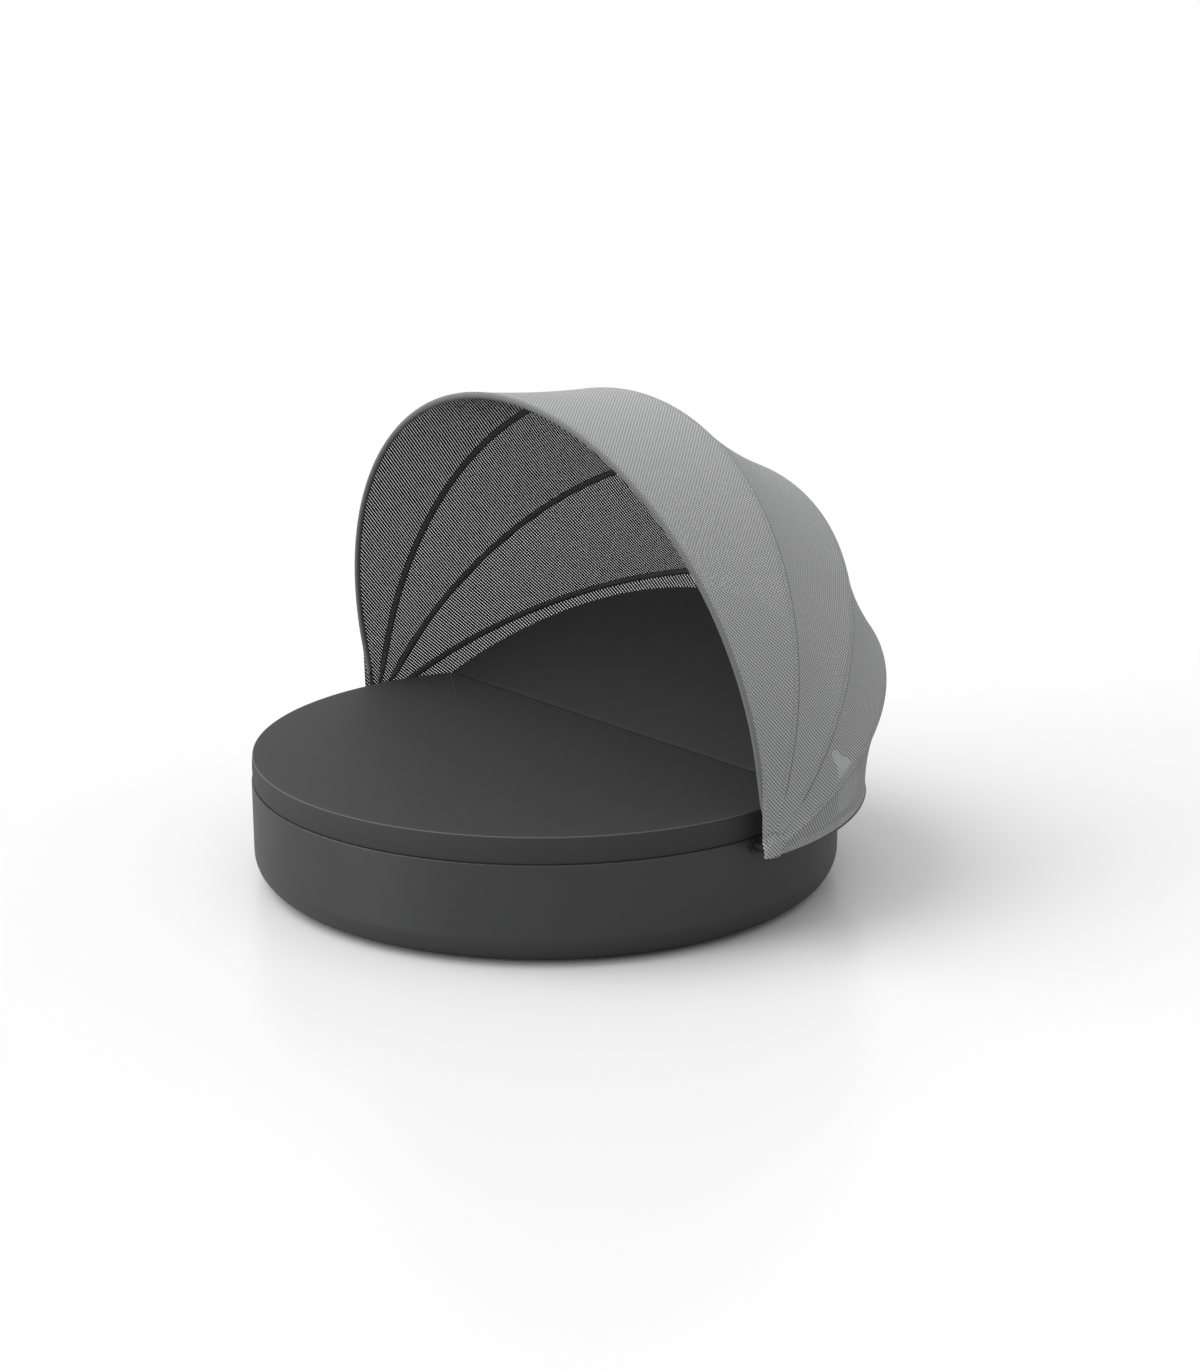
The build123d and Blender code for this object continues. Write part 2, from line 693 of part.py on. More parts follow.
with BuildPart() as prop_knobs:
    for side, plane in both_sides(bar_outer):
        with BuildSketch(plane):
            with Locations((side * foot_raised[0], foot_raised[1])):
                Circle(knob_radius - knob_lobe_radius / 2)
                with PolarLocations(knob_radius - knob_lobe_radius, knob_lobes):
                    Circle(knob_lobe_radius)
        extrude(amount=knob_length)
    bars_cut = prop_pin_head + running_clearance
    for side, plane in both_sides(bar_outer):
        with BuildSketch(plane):
            with Locations((side * foot_raised[0], foot_raised[1])):
                Circle(prop_pin_radius + running_clearance)
        extrude(amount=bars_cut, mode=Mode.SUBTRACT)
prop_knobs.part.label = "prop_knobs"
export_step(prop_knobs.part, "parts/prop_knobs.step")

rail_middle = (rail_front + rail_back) / 2
with BuildPart() as prop_rails:
    for side, plane in both_sides(rail_inner):
        with BuildSketch(plane):
            with Locations((side * rail_middle, well_floor + rail_height / 2)):
                Rectangle(rail_back - rail_front, rail_height)
            for start, end in zip(foot_path, foot_path[1:]):
                run = (end[0] - start[0], end[1] - start[1])
                with Locations((side * (start[0] + end[0]) / 2, (start[1] + end[1]) / 2)):
                    SlotCenterToCenter(
                        hypot(*run),
                        2 * (prop_pin_radius + slot_clearance),
                        rotation=degrees(atan2(run[1], side * run[0])),
                        mode=Mode.SUBTRACT,
                    )
        extrude(amount=rail_thickness)
    with BuildSketch(Plane.XY.offset(well_floor)):
        with Locations((rail_foot_middle, rail_middle), (-rail_foot_middle, rail_middle)):
            Rectangle(rail_foot_width, rail_back - rail_front)
    extrude(amount=rail_foot_thickness)
    cut_screw_holes(Plane.XY.offset(well_floor + rail_foot_thickness), rail_screws, rail_foot_thickness)
prop_rails.part.label = "prop_rails"
export_step(prop_rails.part, "parts/prop_rails.step")

with BuildPart() as prop_rail_screws:
    add_screws(Plane.XY.offset(well_floor + rail_foot_thickness), rail_screws, leaf_screw_length)
prop_rail_screws.part.label = "prop_rail_screws"
export_step(prop_rail_screws.part, "parts/prop_rail_screws.step")


# Brackets of the hood: the seat of the axis bolt, and an arm that the rear hoop is screwed to
def ring_on_axis(start, thickness, outer, inner):
    """Ring about the hood's axis on the +X side, from start outward."""
    with BuildSketch(Plane.YZ.offset(start)) as ring:
        with Locations((hub_setback, hub_height)):
            Circle(outer)
            if inner > 0:
                Circle(inner, mode=Mode.SUBTRACT)
    extrude(ring.sketch, amount=thickness)


arm_turn = asin(arm_screw_setback / rear_hoop_radius)
blade_face = rear_hoop_radius + blade_thickness / 2
arm_screw_plane = Plane(
    origin=(blade_face * cos(arm_turn), hub_setback + blade_face * sin(arm_turn), hub_height),
    x_dir=(-sin(arm_turn), cos(arm_turn), 0),
    z_dir=(cos(arm_turn), sin(arm_turn), 0),
)
flange_face = tub_radius + bracket_flange_height
flange_plane = side_plane(1, flange_face)
arm_outer = stack_start - running_clearance
with BuildPart() as hood_brackets:
    ring_on_axis(tub_radius - bracket_flange_height, 2 * bracket_flange_height, bracket_flange_radius, 0)
    ring_on_axis(tub_radius, arm_outer - tub_radius, bracket_boss_radius, 0)
    with BuildSketch(Plane.XY.offset(hub_height - bracket_arm_height / 2)):
        with Locations((0, hub_setback)):
            Circle(arm_outer)
            Circle(arm_outer - bracket_arm_thickness, mode=Mode.SUBTRACT)
        with Locations((arm_outer, hub_setback + bracket_arm_length / 2)):
            Rectangle(arm_outer, bracket_arm_length, mode=Mode.INTERSECT)
    extrude(amount=bracket_arm_height)
    with BuildSketch():
        Circle(tub_radius + bracket_seat_gap)
    extrude(amount=2 * base_height, mode=Mode.SUBTRACT)
    with BuildSketch():
        with Locations((0, hub_setback)):
            Circle(arm_outer)
    extrude(amount=2 * base_height, mode=Mode.INTERSECT)
    hole_at(side_plane(1, arm_outer), 0, 0, bolt_radius + running_clearance, bolt_grip)
    hole_at(arm_screw_plane, 0, 0, screw_hole, blade_thickness + bracket_arm_thickness)
    cut_screw_holes(flange_plane, bracket_screw_places, 2 * bracket_flange_height)
    mirror(about=Plane.YZ)
hood_brackets.part.label = "hood_brackets"
export_step(hood_brackets.part, "parts/hood_brackets.step")

with BuildPart() as bracket_screws:
    add_screws(flange_plane, bracket_screw_places, bracket_screw_length)
    mirror(about=Plane.YZ)
bracket_screws.part.label = "bracket_screws"
export_step(bracket_screws.part, "parts/bracket_screws.step")

with BuildPart() as rear_hoop_screws:
    add_screws(arm_screw_plane, [(0, 0)], blade_thickness + bracket_arm_thickness)
    mirror(about=Plane.YZ)
rear_hoop_screws.part.label = "rear_hoop_screws"
export_step(rear_hoop_screws.part, "parts/rear_hoop_screws.step")

with BuildPart() as pivot_bolts:
    bolt_start = arm_outer - bolt_grip + running_clearance
    ring_on_axis(bolt_start, head_start - bolt_start, bolt_radius, 0)
    ring_on_axis(head_start, bolt_head_height, bolt_head_radius, 0)
    with BuildSketch(Plane.YZ.offset(head_start + bolt_head_height / 2)):
        with Locations((hub_setback, hub_height)):
            RegularPolygon(bolt_radius * 2 / 3, 6)
    extrude(amount=bolt_head_height, mode=Mode.SUBTRACT)
    fillet(pivot_bolts.faces().sort_by(Axis.X)[-1].outer_wire().edges(), radius=bolt_head_height / 4)
    mirror(about=Plane.YZ)
pivot_bolts.part.label = "pivot_bolts"
export_step(pivot_bolts.part, "parts/pivot_bolts.step")

blade_starts = sorted(radius - blade_thickness / 2 for radius in hoop_radii)
with BuildPart() as pivot_washers:
    for inner_blade, outer_blade in zip(blade_starts, blade_starts[1:]):
        seat = inner_blade + blade_thickness + running_clearance
        thickness = outer_blade - running_clearance - seat
        ring_on_axis(seat, thickness, washer_radius, bolt_radius + running_clearance)
    seat = stack_end + running_clearance
    ring_on_axis(seat, washer_thickness, washer_radius, bolt_radius + running_clearance)
    mirror(about=Plane.YZ)
pivot_washers.part.label = "pivot_washers"
export_step(pivot_washers.part, "parts/pivot_washers.step")


# Hoops of the hood, numbered from the front; the rear one stays on the tub
def hoop_plane(angle):
    """Plane of a hoop: x across the bed, y away from the axis, z toward the front hoops' side."""
    turn = radians(angle)
    return Plane(
        origin=(0, hub_setback, hub_height), x_dir=(1, 0, 0), z_dir=(0, -sin(turn), cos(turn))
    )


def hoop_tube(plane, radius, leg, start, outer, inner):
    """A tube along a hoop, from this reach on one side to the same on the other."""
    with BuildLine(plane) as path:
        if leg > start:
            Line((radius, start), (radius, leg))
            CenterArc((0, leg), radius, 0, 180)
            Line((-radius, leg), (-radius, start))
        else:
            skip = degrees((start - leg) / radius)
            CenterArc((0, leg), radius, skip, 180 - 2 * skip)
    end_plane = Plane(origin=path.line @ 0, x_dir=plane.z_dir, z_dir=path.line % 0)
    with BuildSketch(end_plane) as ring:
        Circle(outer)
        Circle(inner, mode=Mode.SUBTRACT)
    sweep(ring.sketch, path=path.line)


def rivet_plane(plane, radius, leg, side):
    """Plane on the outer face of a hoop's tube at its rivet, facing outward."""
    reach = tube_start + rivet_inset
    turn = max(0, (reach - leg) / radius)
    outward = plane.x_dir * (side * cos(turn)) + plane.y_dir * sin(turn)
    middle = plane.origin + plane.x_dir * (side * radius * cos(turn))
    middle = middle + plane.y_dir * (min(reach, leg) + radius * sin(turn))
    return Plane(origin=middle + outward * tube_radius, x_dir=plane.z_dir, z_dir=outward)


for number, (angle, radius, leg) in enumerate(zip(hoop_angles, hoop_radii, hoop_legs)):
    name = "hoop_" + str(number + 1)
    plane = hoop_plane(angle)
    fixed = number == len(hoop_angles) - 1
    rivets = [rivet_plane(plane, radius, leg, side) for side in (1, -1)]

    with BuildPart() as tube:
        hoop_tube(plane, radius, leg, tube_start, tube_radius, tube_radius - tube_wall)
        for spot in rivets:
            hole_at(spot, 0, 0, rivet_radius + screw_clearance, 2 * tube_radius + overrun)
    tube.part.label = name + "_tube"
    export_step(tube.part, "parts/" + name + "_tube.step")

    hub_disc = Plane(
        origin=(radius - blade_thickness / 2, hub_setback, hub_height),
        x_dir=plane.y_dir,
        z_dir=(1, 0, 0),
    )
    blade_reach = tube_start + blade_plug
    with BuildPart() as blades:
        if fixed:
            with BuildSketch(plane.offset(-blade_width / 2)):
                Circle(radius + blade_thickness / 2)
                Circle(radius - blade_thickness / 2, mode=Mode.SUBTRACT)
                with Locations((radius, blade_reach / 2)):
                    Rectangle(radius, blade_reach, mode=Mode.INTERSECT)
            extrude(amount=blade_width)
            cut_screw_holes(arm_screw_plane, [(0, 0)], 2 * blade_thickness)
        else:
            with BuildSketch(hub_disc):
                with Locations((blade_reach / 2, 0)):
                    Rectangle(blade_reach, blade_width)
            extrude(amount=blade_thickness)
        with BuildSketch(hub_disc):
            Circle(blade_hub_radius)
        extrude(amount=blade_thickness)
        bolt_hole = bolt_radius + running_clearance
        hole_at(hub_disc.offset(blade_thickness), 0, 0, bolt_hole, blade_thickness + overrun)
        hole_at(rivets[0], 0, 0, rivet_radius + screw_clearance, 2 * tube_radius)
        mirror(about=Plane.YZ)
    blades.part.label = name + "_blades"
    export_step(blades.part, "parts/" + name + "_blades.step")

    rivet_top = rivets[0].offset(running_clearance)
    rivet_grip = 2 * (tube_radius + running_clearance)
    with BuildPart() as rivet:
        with BuildSketch(rivet_top):
            Circle(rivet_radius)
        extrude(amount=-rivet_grip)
        for height in (0, -rivet_grip - rivet_head):
            with BuildSketch(rivet_top.offset(height)):
                Circle(rivet_head_radius)
            extrude(amount=rivet_head)
        mirror(about=Plane.YZ)
    rivet.part.label = name + "_rivets"
    export_step(rivet.part, "parts/" + name + "_rivets.step")

    with BuildPart() as sleeve:
        hoop_tube(plane, radius, leg, sleeve_start, sleeve_radius, tube_radius + sleeve_clearance)
    sleeve.part.label = name + "_sleeve"
    export_step(sleeve.part, "parts/" + name + "_sleeve.step")


# Mesh of the canopy: one panel between each two hoops, drawn in a little between them
def hoop_point(number, share, side):
    """A point along a hoop with its outward direction: share runs from the axis to the crown."""
    plane = hoop_plane(hoop_angles[number])
    radius, leg = hoop_radii[number], hoop_legs[number]
    reach = panel_start + share * (leg + radius * pi / 2 - panel_start)
    turn = max(0, (reach - leg) / radius)
    outward = plane.x_dir * (side * cos(turn)) + plane.y_dir * sin(turn)
    middle = plane.origin + plane.x_dir * (side * radius * cos(turn))
    return middle + plane.y_dir * (min(reach, leg) + radius * sin(turn)), outward, plane.z_dir


def panel_section(front, share, side, sag_share):
    """Slim section of a panel from its rear hoop to its front one."""
    lean = radians(panel_edge_angle)
    stand_off = sleeve_radius + panel_gap
    front_middle, front_outward, front_way = hoop_point(front, share, side)
    rear_middle, rear_outward, rear_way = hoop_point(front + 1, share, side)
    start = rear_middle + (rear_outward * cos(lean) + rear_way * sin(lean)) * stand_off
    end = front_middle + (front_outward * cos(lean) - front_way * sin(lean)) * stand_off
    across = end - start
    width = across.length
    normal = across.cross(front_outward + rear_outward)
    with BuildSketch(Plane(origin=start, x_dir=across, z_dir=normal)) as section:
        with BuildLine():
            sag = width * sag_share
            ThreePointArc((0, 0), (width / 2, -sag), (width, 0))
            Line((width, 0), (width, panel_thickness))
            ThreePointArc(
                (width, panel_thickness), (width / 2, panel_thickness - sag), (0, panel_thickness)
            )
            Line((0, panel_thickness), (0, 0))
        make_face()
    return section.sketch.faces()[0]


for front, sag_share in enumerate(panel_sag_shares):
    stations = [n / (panel_stations - 1) for n in range(panel_stations)]
    sections = [panel_section(front, share, 1, sag_share) for share in stations]
    sections += [panel_section(front, share, -1, sag_share) for share in reversed(stations[:-1])]
    with BuildPart() as panel:
        loft(sections)
    name = "canopy_panel_" + str(front + 1)
    panel.part.label = name
    export_step(panel.part, "parts/" + name + ".step")

hem_inner = rear_hoop_radius + sleeve_radius + hem_gap
with BuildPart() as lower_hem:
    with BuildSketch(Plane.XY.offset(hub_height - hem_drop)):
        with Locations((0, hub_setback)):
            Circle(hem_inner + hem_thickness)
            Circle(hem_inner, mode=Mode.SUBTRACT)
        with Locations((0, hub_setback + hem_start + hem_inner)):
            Rectangle(3 * hem_inner, 2 * hem_inner, mode=Mode.INTERSECT)
    extrude(amount=hem_drop)
lower_hem.part.label = "lower_hem"
export_step(lower_hem.part, "parts/lower_hem.step")

front_turn = radians(hoop_angles[0])
gusset_front = (gusset_radius * cos(front_turn), gusset_radius * sin(front_turn))
edge_shift = (-sleeve_radius * sin(front_turn), sleeve_radius * cos(front_turn))
hem_reach = hem_drop / sin(front_turn)
bottom_front = (-hem_reach * cos(front_turn) + edge_shift[0], -hem_drop)
top_front = (gusset_front[0] + edge_shift[0], gusset_front[1] + edge_shift[1])
with BuildPart() as side_gussets:
    with BuildSketch(side_plane(1, head_start + bolt_head_height + running_clearance)):
        with BuildLine():
            Polyline(
                gusset_front,
                top_front,
                bottom_front,
                (gusset_radius, -hem_drop),
                (gusset_radius, 0),
            )
            CenterArc((0, 0), gusset_radius, 0, hoop_angles[0])
        make_face()
    extrude(amount=gusset_thickness)
    mirror(about=Plane.YZ)
side_gussets.part.label = "side_gussets"
export_step(side_gussets.part, "parts/side_gussets.step")

print("fold axis (m):", chord_setback / 1000, pivot_z / 1000)
print("hood axis (m):", hub_setback / 1000, hub_height / 1000)
print("prop pivot, raised (m):", pivot_raised[0] / 1000, pivot_raised[1] / 1000)
print("prop turn (deg):", backrest_angle + degrees(lean_raised - lean_flat))
print("hood radii, legs (mm):", hoop_radii, hoop_legs)
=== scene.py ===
import bpy
import numpy as np
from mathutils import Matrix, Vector


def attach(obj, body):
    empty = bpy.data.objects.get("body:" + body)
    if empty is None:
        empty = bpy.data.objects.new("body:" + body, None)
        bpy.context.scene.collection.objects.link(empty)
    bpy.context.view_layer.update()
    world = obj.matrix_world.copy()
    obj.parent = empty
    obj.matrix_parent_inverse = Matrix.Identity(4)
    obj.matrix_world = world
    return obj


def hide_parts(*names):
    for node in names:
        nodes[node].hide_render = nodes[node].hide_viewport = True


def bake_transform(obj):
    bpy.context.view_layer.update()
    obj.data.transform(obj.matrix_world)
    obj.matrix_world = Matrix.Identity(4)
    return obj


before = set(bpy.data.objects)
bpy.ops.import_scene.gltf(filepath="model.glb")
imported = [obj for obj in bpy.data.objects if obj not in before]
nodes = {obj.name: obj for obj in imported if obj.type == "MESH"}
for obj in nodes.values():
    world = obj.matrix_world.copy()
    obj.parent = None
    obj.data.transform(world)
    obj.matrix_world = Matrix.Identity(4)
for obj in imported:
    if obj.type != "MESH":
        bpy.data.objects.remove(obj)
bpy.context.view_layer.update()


# The tub is one rotation-moulded shell of dark polyethylene, with a fine satin grain from the mould and a
# large rounding round its bottom. It carries the deck on a ledge and the hood on two brackets.
class Value:
    """A socket of a node tree. Arithmetic on it adds Math nodes; node() adds any other node."""

    def __init__(self, tree, socket):
        self.tree, self.socket = tree, socket

    def node(self, kind, settings=None, sockets=None, out=0):
        """A new node with these settings and inputs, as the value of its output number out."""
        made = self.tree.nodes.new("ShaderNode" + kind)
        for name, value in (settings or {}).items():
            setattr(made, name, value)
        for name, value in (sockets or {}).items():
            if isinstance(value, Value):
                self.tree.links.new(value.socket, made.inputs[name])
            else:
                made.inputs[name].default_value = value
        return Value(self.tree, made.outputs[out])

    def math(self, operation, *others):
        return self.node("Math", {"operation": operation}, dict(enumerate((self, *others))))

    def __add__(self, other):
        return self.math("ADD", other)

    def __mul__(self, other):
        return self.math("MULTIPLY", other)

    def __sub__(self, other):
        return self.math("SUBTRACT", other)

    def __rsub__(self, other):
        return self.node("Math", {"operation": "SUBTRACT"}, {0: other, 1: self})

    __radd__, __rmul__ = __add__, __mul__

    def part(self, axis):
        return self.node("SeparateXYZ", None, {0: self}, "XYZ".index(axis))

    def step(self, low, high):
        """0 below low and 1 above high, smooth between."""
        settings = {"interpolation_type": "SMOOTHSTEP", "clamp": True}
        return self.node("MapRange", settings, {"Value": self, "From Min": low, "From Max": high})

    def wave(self, pitch):
        """A sine over this length, with one cycle to a pitch."""
        return (self * (2 * np.pi / pitch)).math("SINE")

    def noise(self, scale, detail, roughness):
        sockets = {"Vector": self, "Scale": scale, "Detail": detail, "Roughness": roughness}
        return self.node("TexNoise", {"noise_dimensions": "3D"}, sockets)

    def attribute(self, name):
        """The value that paint() left on the piece's points under this name."""
        settings = {"attribute_name": name, "attribute_type": "GEOMETRY"}
        return self.node("Attribute", settings, None, 2)

    def blend(self, low, high, kind="MIX"):
        """A colour between two by this value, which may run past 0 and 1; each may be a Value."""
        low, high = (end if isinstance(end, Value) else (*end, 1) for end in (low, high))
        settings = {"data_type": "RGBA", "blend_type": kind, "clamp_factor": False}
        return self.node("Mix", settings, {0: self, 6: low, 7: high}, 2)

    def bump(self, strength, distance):
        sockets = {"Height": self, "Strength": strength, "Distance": distance}
        return self.node("Bump", None, sockets)


def finish(name, look, **constants):
    """A material: look(place) gives the sockets that vary over the surface, constants the rest."""
    material = bpy.data.materials.new(name)
    material.use_nodes = True
    tree = material.node_tree
    tree.nodes.clear()
    output = tree.nodes.new("ShaderNodeOutputMaterial")
    surface = tree.nodes.new("ShaderNodeBsdfPrincipled")
    tree.links.new(surface.outputs[0], output.inputs["Surface"])
    place = Value(tree, tree.nodes.new("ShaderNodeTexCoord").outputs["Object"])
    for socket, value in constants.items():
        surface.inputs[socket.replace("_", " ")].default_value = value
    for socket, value in look(place).items():
        tree.links.new(value.socket, surface.inputs[socket])
    return material


def dress(material, *names):
    """These CAD nodes keep their shape and take this finish."""
    for name in names:
        slots = nodes[name].data.materials
        slots.clear()
        slots.append(material)


def grey(level):
    """A grey with the slightest blue, as the photograph's greys have."""
    return (level, level * 1.005, level * 1.015)


def moulded_look(place):
    grain = place.noise(900, 3, 0.6)
    flow = place.noise(2.2, 4, 0.55)
    scuffs = place.noise(38, 5, 0.7).step(0.66, 0.74)
    low = 1 - place.part("Z").step(0.02, 0.09)
    return {
        "Base Color": (flow * 0.6 + scuffs * 0.25 + low * 0.2).blend(grey(0.037), grey(0.06)),
        "Roughness": grain * 0.1 + flow * 0.08 + scuffs * 0.05 + 0.33,
        "Normal": grain.bump(0.14, 0.0006),
    }


dress(finish("tub_plastic", moulded_look, IOR=1.5), "base_tub")


# Nine moulded glides are screwed under the tub, and a turned plug closes its drain. Both are of a black
# plastic, matt where it rubs on the floor.
def grained_look(scale, roughness, colours, sheen, relief):
    """A look with one fine grain that drives colour, roughness (span and least) and relief together."""

    def look(place):
        grain = place.noise(scale, 3, roughness)
        return {
            "Base Color": grain.blend(*colours),
            "Roughness": grain * sheen[0] + sheen[1],
            "Normal": grain.bump(*relief),
        }

    return look


glide_look = grained_look(400, 0.6, (grey(0.018), grey(0.03)), (0.2, 0.5), (0.2, 0.0005))
dress(finish("glide_plastic", glide_look), "glides", "drain_plug")


# The deck is a moulded plate on the tub's ledge with a well behind the fold; tubes of the same plastic
# stand under it. The backrest's board lies in its rebate. All of it is matt, with a pressed pebble grain.
def deck_look(place):
    pebble = place.node("TexVoronoi", None, {"Vector": place, "Scale": 420.0, "Randomness": 1.0})
    flow = place.noise(6, 4, 0.6)
    return {
        "Base Color": (flow * 0.7 + pebble * 0.3).blend(grey(0.03), grey(0.045)),
        "Roughness": flow * 0.15 + 0.52,
        "Normal": pebble.bump(0.25, 0.0006),
    }


dress(finish("deck_plastic", deck_look), "deck", "deck_posts", "backrest_board")


# Screws, hinges, prop, rails and pivot bolts are stainless steel, brushed along their length, with a
# little more shine where they rub.
def steel_look(place):
    stretched = place.node("Mapping", None, {"Vector": place, "Scale": (18.0, 900.0, 900.0)})
    lines = stretched.noise(1.0, 3, 0.6)
    wear = place.noise(60, 4, 0.6)
    return {
        "Base Color": (lines * 0.5 + wear * 0.5).blend((0.38, 0.38, 0.39), (0.56, 0.56, 0.57)),
        "Roughness": lines * 0.18 + wear * 0.12 + 0.2,
        "Normal": lines.bump(0.08, 0.0003),
    }


steel = finish("brushed_steel", steel_look, Metallic=1.0)
dress(
    steel,
    "glide_screws", "deck_screws", "seat_hinge_leaves", "seat_hinge_screws", "hinge_pins",
    "backrest_hinge_leaves", "backrest_hinge_screws", "prop_lugs", "prop_lug_screws",
    "prop_pivot_pins", "prop_bars", "prop_crossbar", "prop_foot_pins", "prop_rails",
    "prop_rail_screws", "rear_hoop_screws", "pivot_bolts",
)


# The prop's two clamping knobs are moulded in black plastic on the foot pins. The washers at the hood's
# pivots are punched from natural nylon, so that the flat bars turn on each other without wear.
knob_look = grained_look(700, 0.6, (grey(0.015), grey(0.026)), (0.15, 0.42), (0.2, 0.0004))
dress(finish("knob_plastic", knob_look), "prop_knobs")
nylon_look = grained_look(200, 0.5, ((0.5, 0.5, 0.47), (0.6, 0.6, 0.57)), (0.1, 0.4), (0.05, 0.0003))
dress(finish("nylon", nylon_look), "pivot_washers")


# The mattress is foam in a tight woven cover, in two parts that meet at the fold. The top panel and the
# side band are joined by a narrow seam, and the foam crowns the top by a few millimetres.
bed_radius, base_height, mattress_height = 1.050, 0.355, 0.095
fold, fold_gap, hinge_cover, raised = 0.320, 0.0006, 0.008, np.radians(35)
mattress_top = base_height + mattress_height
corner_round, top_round, bottom_round, fold_round = 0.011, 0.0055, 0.006, 0.0025
crown, bulge = 0.004, 0.0025
crown_power, fold_power, crown_falloff = 6, 34, 0.35  # how late the crown drops to the rim and the fold
seam_turn, seam_width, seam_depth = 0.95, 0.16, 0.0012  # the first two in radians of the rounding
pad_middles = {-1: -0.32, 1: 0.66}  # where the rings of each part shrink to, in y
edge_spacing = 0.7  # a power that sets the rings of underside and top closer towards the edge
band_edge, panel_edge = 0.0045, 0.0025  # depths below the top, of the side band's cloth and the top panel's, between which the painted light on the side band fades in
# depth below the top and width of a thin painted highlight along the top edge's rounding, in the cover's
# colour
piping_depth, piping_width = 0.0026, 0.0015
same_place = 0.00001  # points or heights closer than this count as one


def pad_outline(way, around):
    """Outline of one part of the round pad from above, its outward directions and its share of fold.

    It is an arc of the bed's circle, a small corner arc, the straight fold and the other corner arc.
    way is -1 in front of the fold and 1 behind it."""
    centre_y = fold + way * (fold_gap / 2 + corner_round)
    centre_x = np.sqrt((bed_radius - corner_round) ** 2 - centre_y**2)
    meet = np.arctan2(centre_y, centre_x)
    corner_points, fold_points = 14, around // 4
    arc_points = around - fold_points - 2 * corner_points
    left_at, fold_at, right_at = np.cumsum([arc_points, corner_points, fold_points])
    half_turn = way * np.pi
    arc = np.linspace(meet, half_turn - meet, arc_points, endpoint=False)
    left = np.linspace(half_turn - meet, half_turn * 1.5, corner_points, endpoint=False)
    right = np.linspace(-half_turn / 2, meet, corner_points, endpoint=False)
    outward = np.concatenate([arc, left, np.full(fold_points, -half_turn / 2), right])
    normal = np.stack([np.cos(outward), np.sin(outward)], 1)
    centre, reach, share = np.zeros((around, 2)), np.full(around, corner_round), np.zeros(around)
    reach[:left_at] = bed_radius
    centre[left_at:, 1] = centre_y
    centre[left_at:fold_at, 0] = -centre_x
    centre[fold_at:right_at, 0] = np.linspace(-centre_x, centre_x, fold_points, endpoint=False)
    centre[right_at:, 0] = centre_x
    share[left_at:fold_at] = np.linspace(0, 1, corner_points)
    share[fold_at:right_at] = 1
    share[right_at:] = np.linspace(1, 0, corner_points)
    return centre + normal * reach[:, None], normal, share


def pad_rows(way, around=640, across=34):
    """Rings of a closed pad from the middle of its underside, round the edge, to the middle of its top.

    Underside and top shrink the inset outline towards a middle point; the edges are quarter circles,
    the side bulges as a half sine, the seam is a shallow groove with the shape of a bell curve, and the
    top crowns with a high power of the distance from its middle."""
    outline, normal, folded = pad_outline(way, around)
    swell = bulge * (1 - folded)
    edge = top_round + (fold_round - top_round) * folded
    middle = np.array([0.0, pad_middles[way]])
    rings = []

    def add_ring(inset, height, share=1.0):
        flat = middle + (outline - normal * np.reshape(inset, (-1, 1)) - middle) * share
        rings.append(np.column_stack([flat, height * np.ones(around)]))

    shares = np.linspace(0, 1, across) ** edge_spacing
    for share in shares[:-1]:
        add_ring(bottom_round, base_height, share)
    for turn in np.linspace(0, np.pi / 2, 7):
        add_ring(bottom_round * (1 - np.sin(turn)) + swell, base_height + bottom_round * (1 - np.cos(turn)))
    low, high = base_height + bottom_round, mattress_top - edge
    for share in np.linspace(0, 1, 12)[1:-1]:
        add_ring(swell * (1 - np.sin(np.pi * share)), low + (high - low) * share)
    for turn in np.linspace(0, np.pi / 2, 12):
        groove = seam_depth * np.exp(-(((turn - seam_turn) / seam_width) ** 2)) * (1 - folded)
        inset = swell + edge * (1 - np.cos(turn)) + groove * np.cos(turn)
        add_ring(inset, high + (edge - groove) * np.sin(turn))
    for share in shares[-2::-1]:
        flatness = 1 - share ** (crown_power + fold_power * folded)
        add_ring(swell + edge, mattress_top + crown * flatness * (1 - crown_falloff * share**2), share)
    return np.stack(rings)


def closed_rows(rows):
    """Vertices and faces of a surface of closed rings; the first and the last ring shut to a point."""
    count, around, _ = rows.shape
    body = rows[1:-1].reshape(-1, 3)
    points = np.concatenate([body, [rows[0].mean(0)], [rows[-1].mean(0)]])
    ring = np.arange(around)
    onward = (ring + 1) % around
    first = (np.arange(count - 3) * around)[:, None]
    quads = np.stack([first + ring, first + onward, first + around + onward, first + around + ring], -1)
    faces = quads.reshape(-1, 4).tolist()
    last = (count - 3) * around
    faces += [[len(body), b, a] for a, b in zip(ring.tolist(), onward.tolist())]
    faces += [[len(body) + 1, last + a, last + b] for a, b in zip(ring.tolist(), onward.tolist())]
    return points, faces


def new_piece(name, points, faces, material):
    """A smooth mesh object at the origin, turned inside out if its signed volume comes out negative."""
    mesh = bpy.data.meshes.new(name)
    mesh.from_pydata(points.tolist(), [], faces)
    corners = [face[:3] for face in faces] + [[face[0], *face[2:]] for face in faces if len(face) == 4]
    first, second, third = points[np.array(corners)].transpose(1, 0, 2)
    if (first * np.cross(second, third)).sum() < 0:
        mesh.flip_normals()
    mesh.materials.append(material)
    mesh.polygons.foreach_set("use_smooth", np.ones(len(mesh.polygons), bool))
    piece = bpy.data.objects.new(name, mesh)
    bpy.context.scene.collection.objects.link(piece)
    return piece


def paint(piece, **fields):
    """Float attributes on the points of a piece."""
    for name, values in fields.items():
        attribute = piece.data.attributes.new(name, "FLOAT", "POINT")
        attribute.data.foreach_set("value", np.asarray(values, np.float32).ravel())


def ramp(values, low, high):
    """0 below low and 1 above high, straight between."""
    return np.clip((values - low) / (high - low), 0, 1)


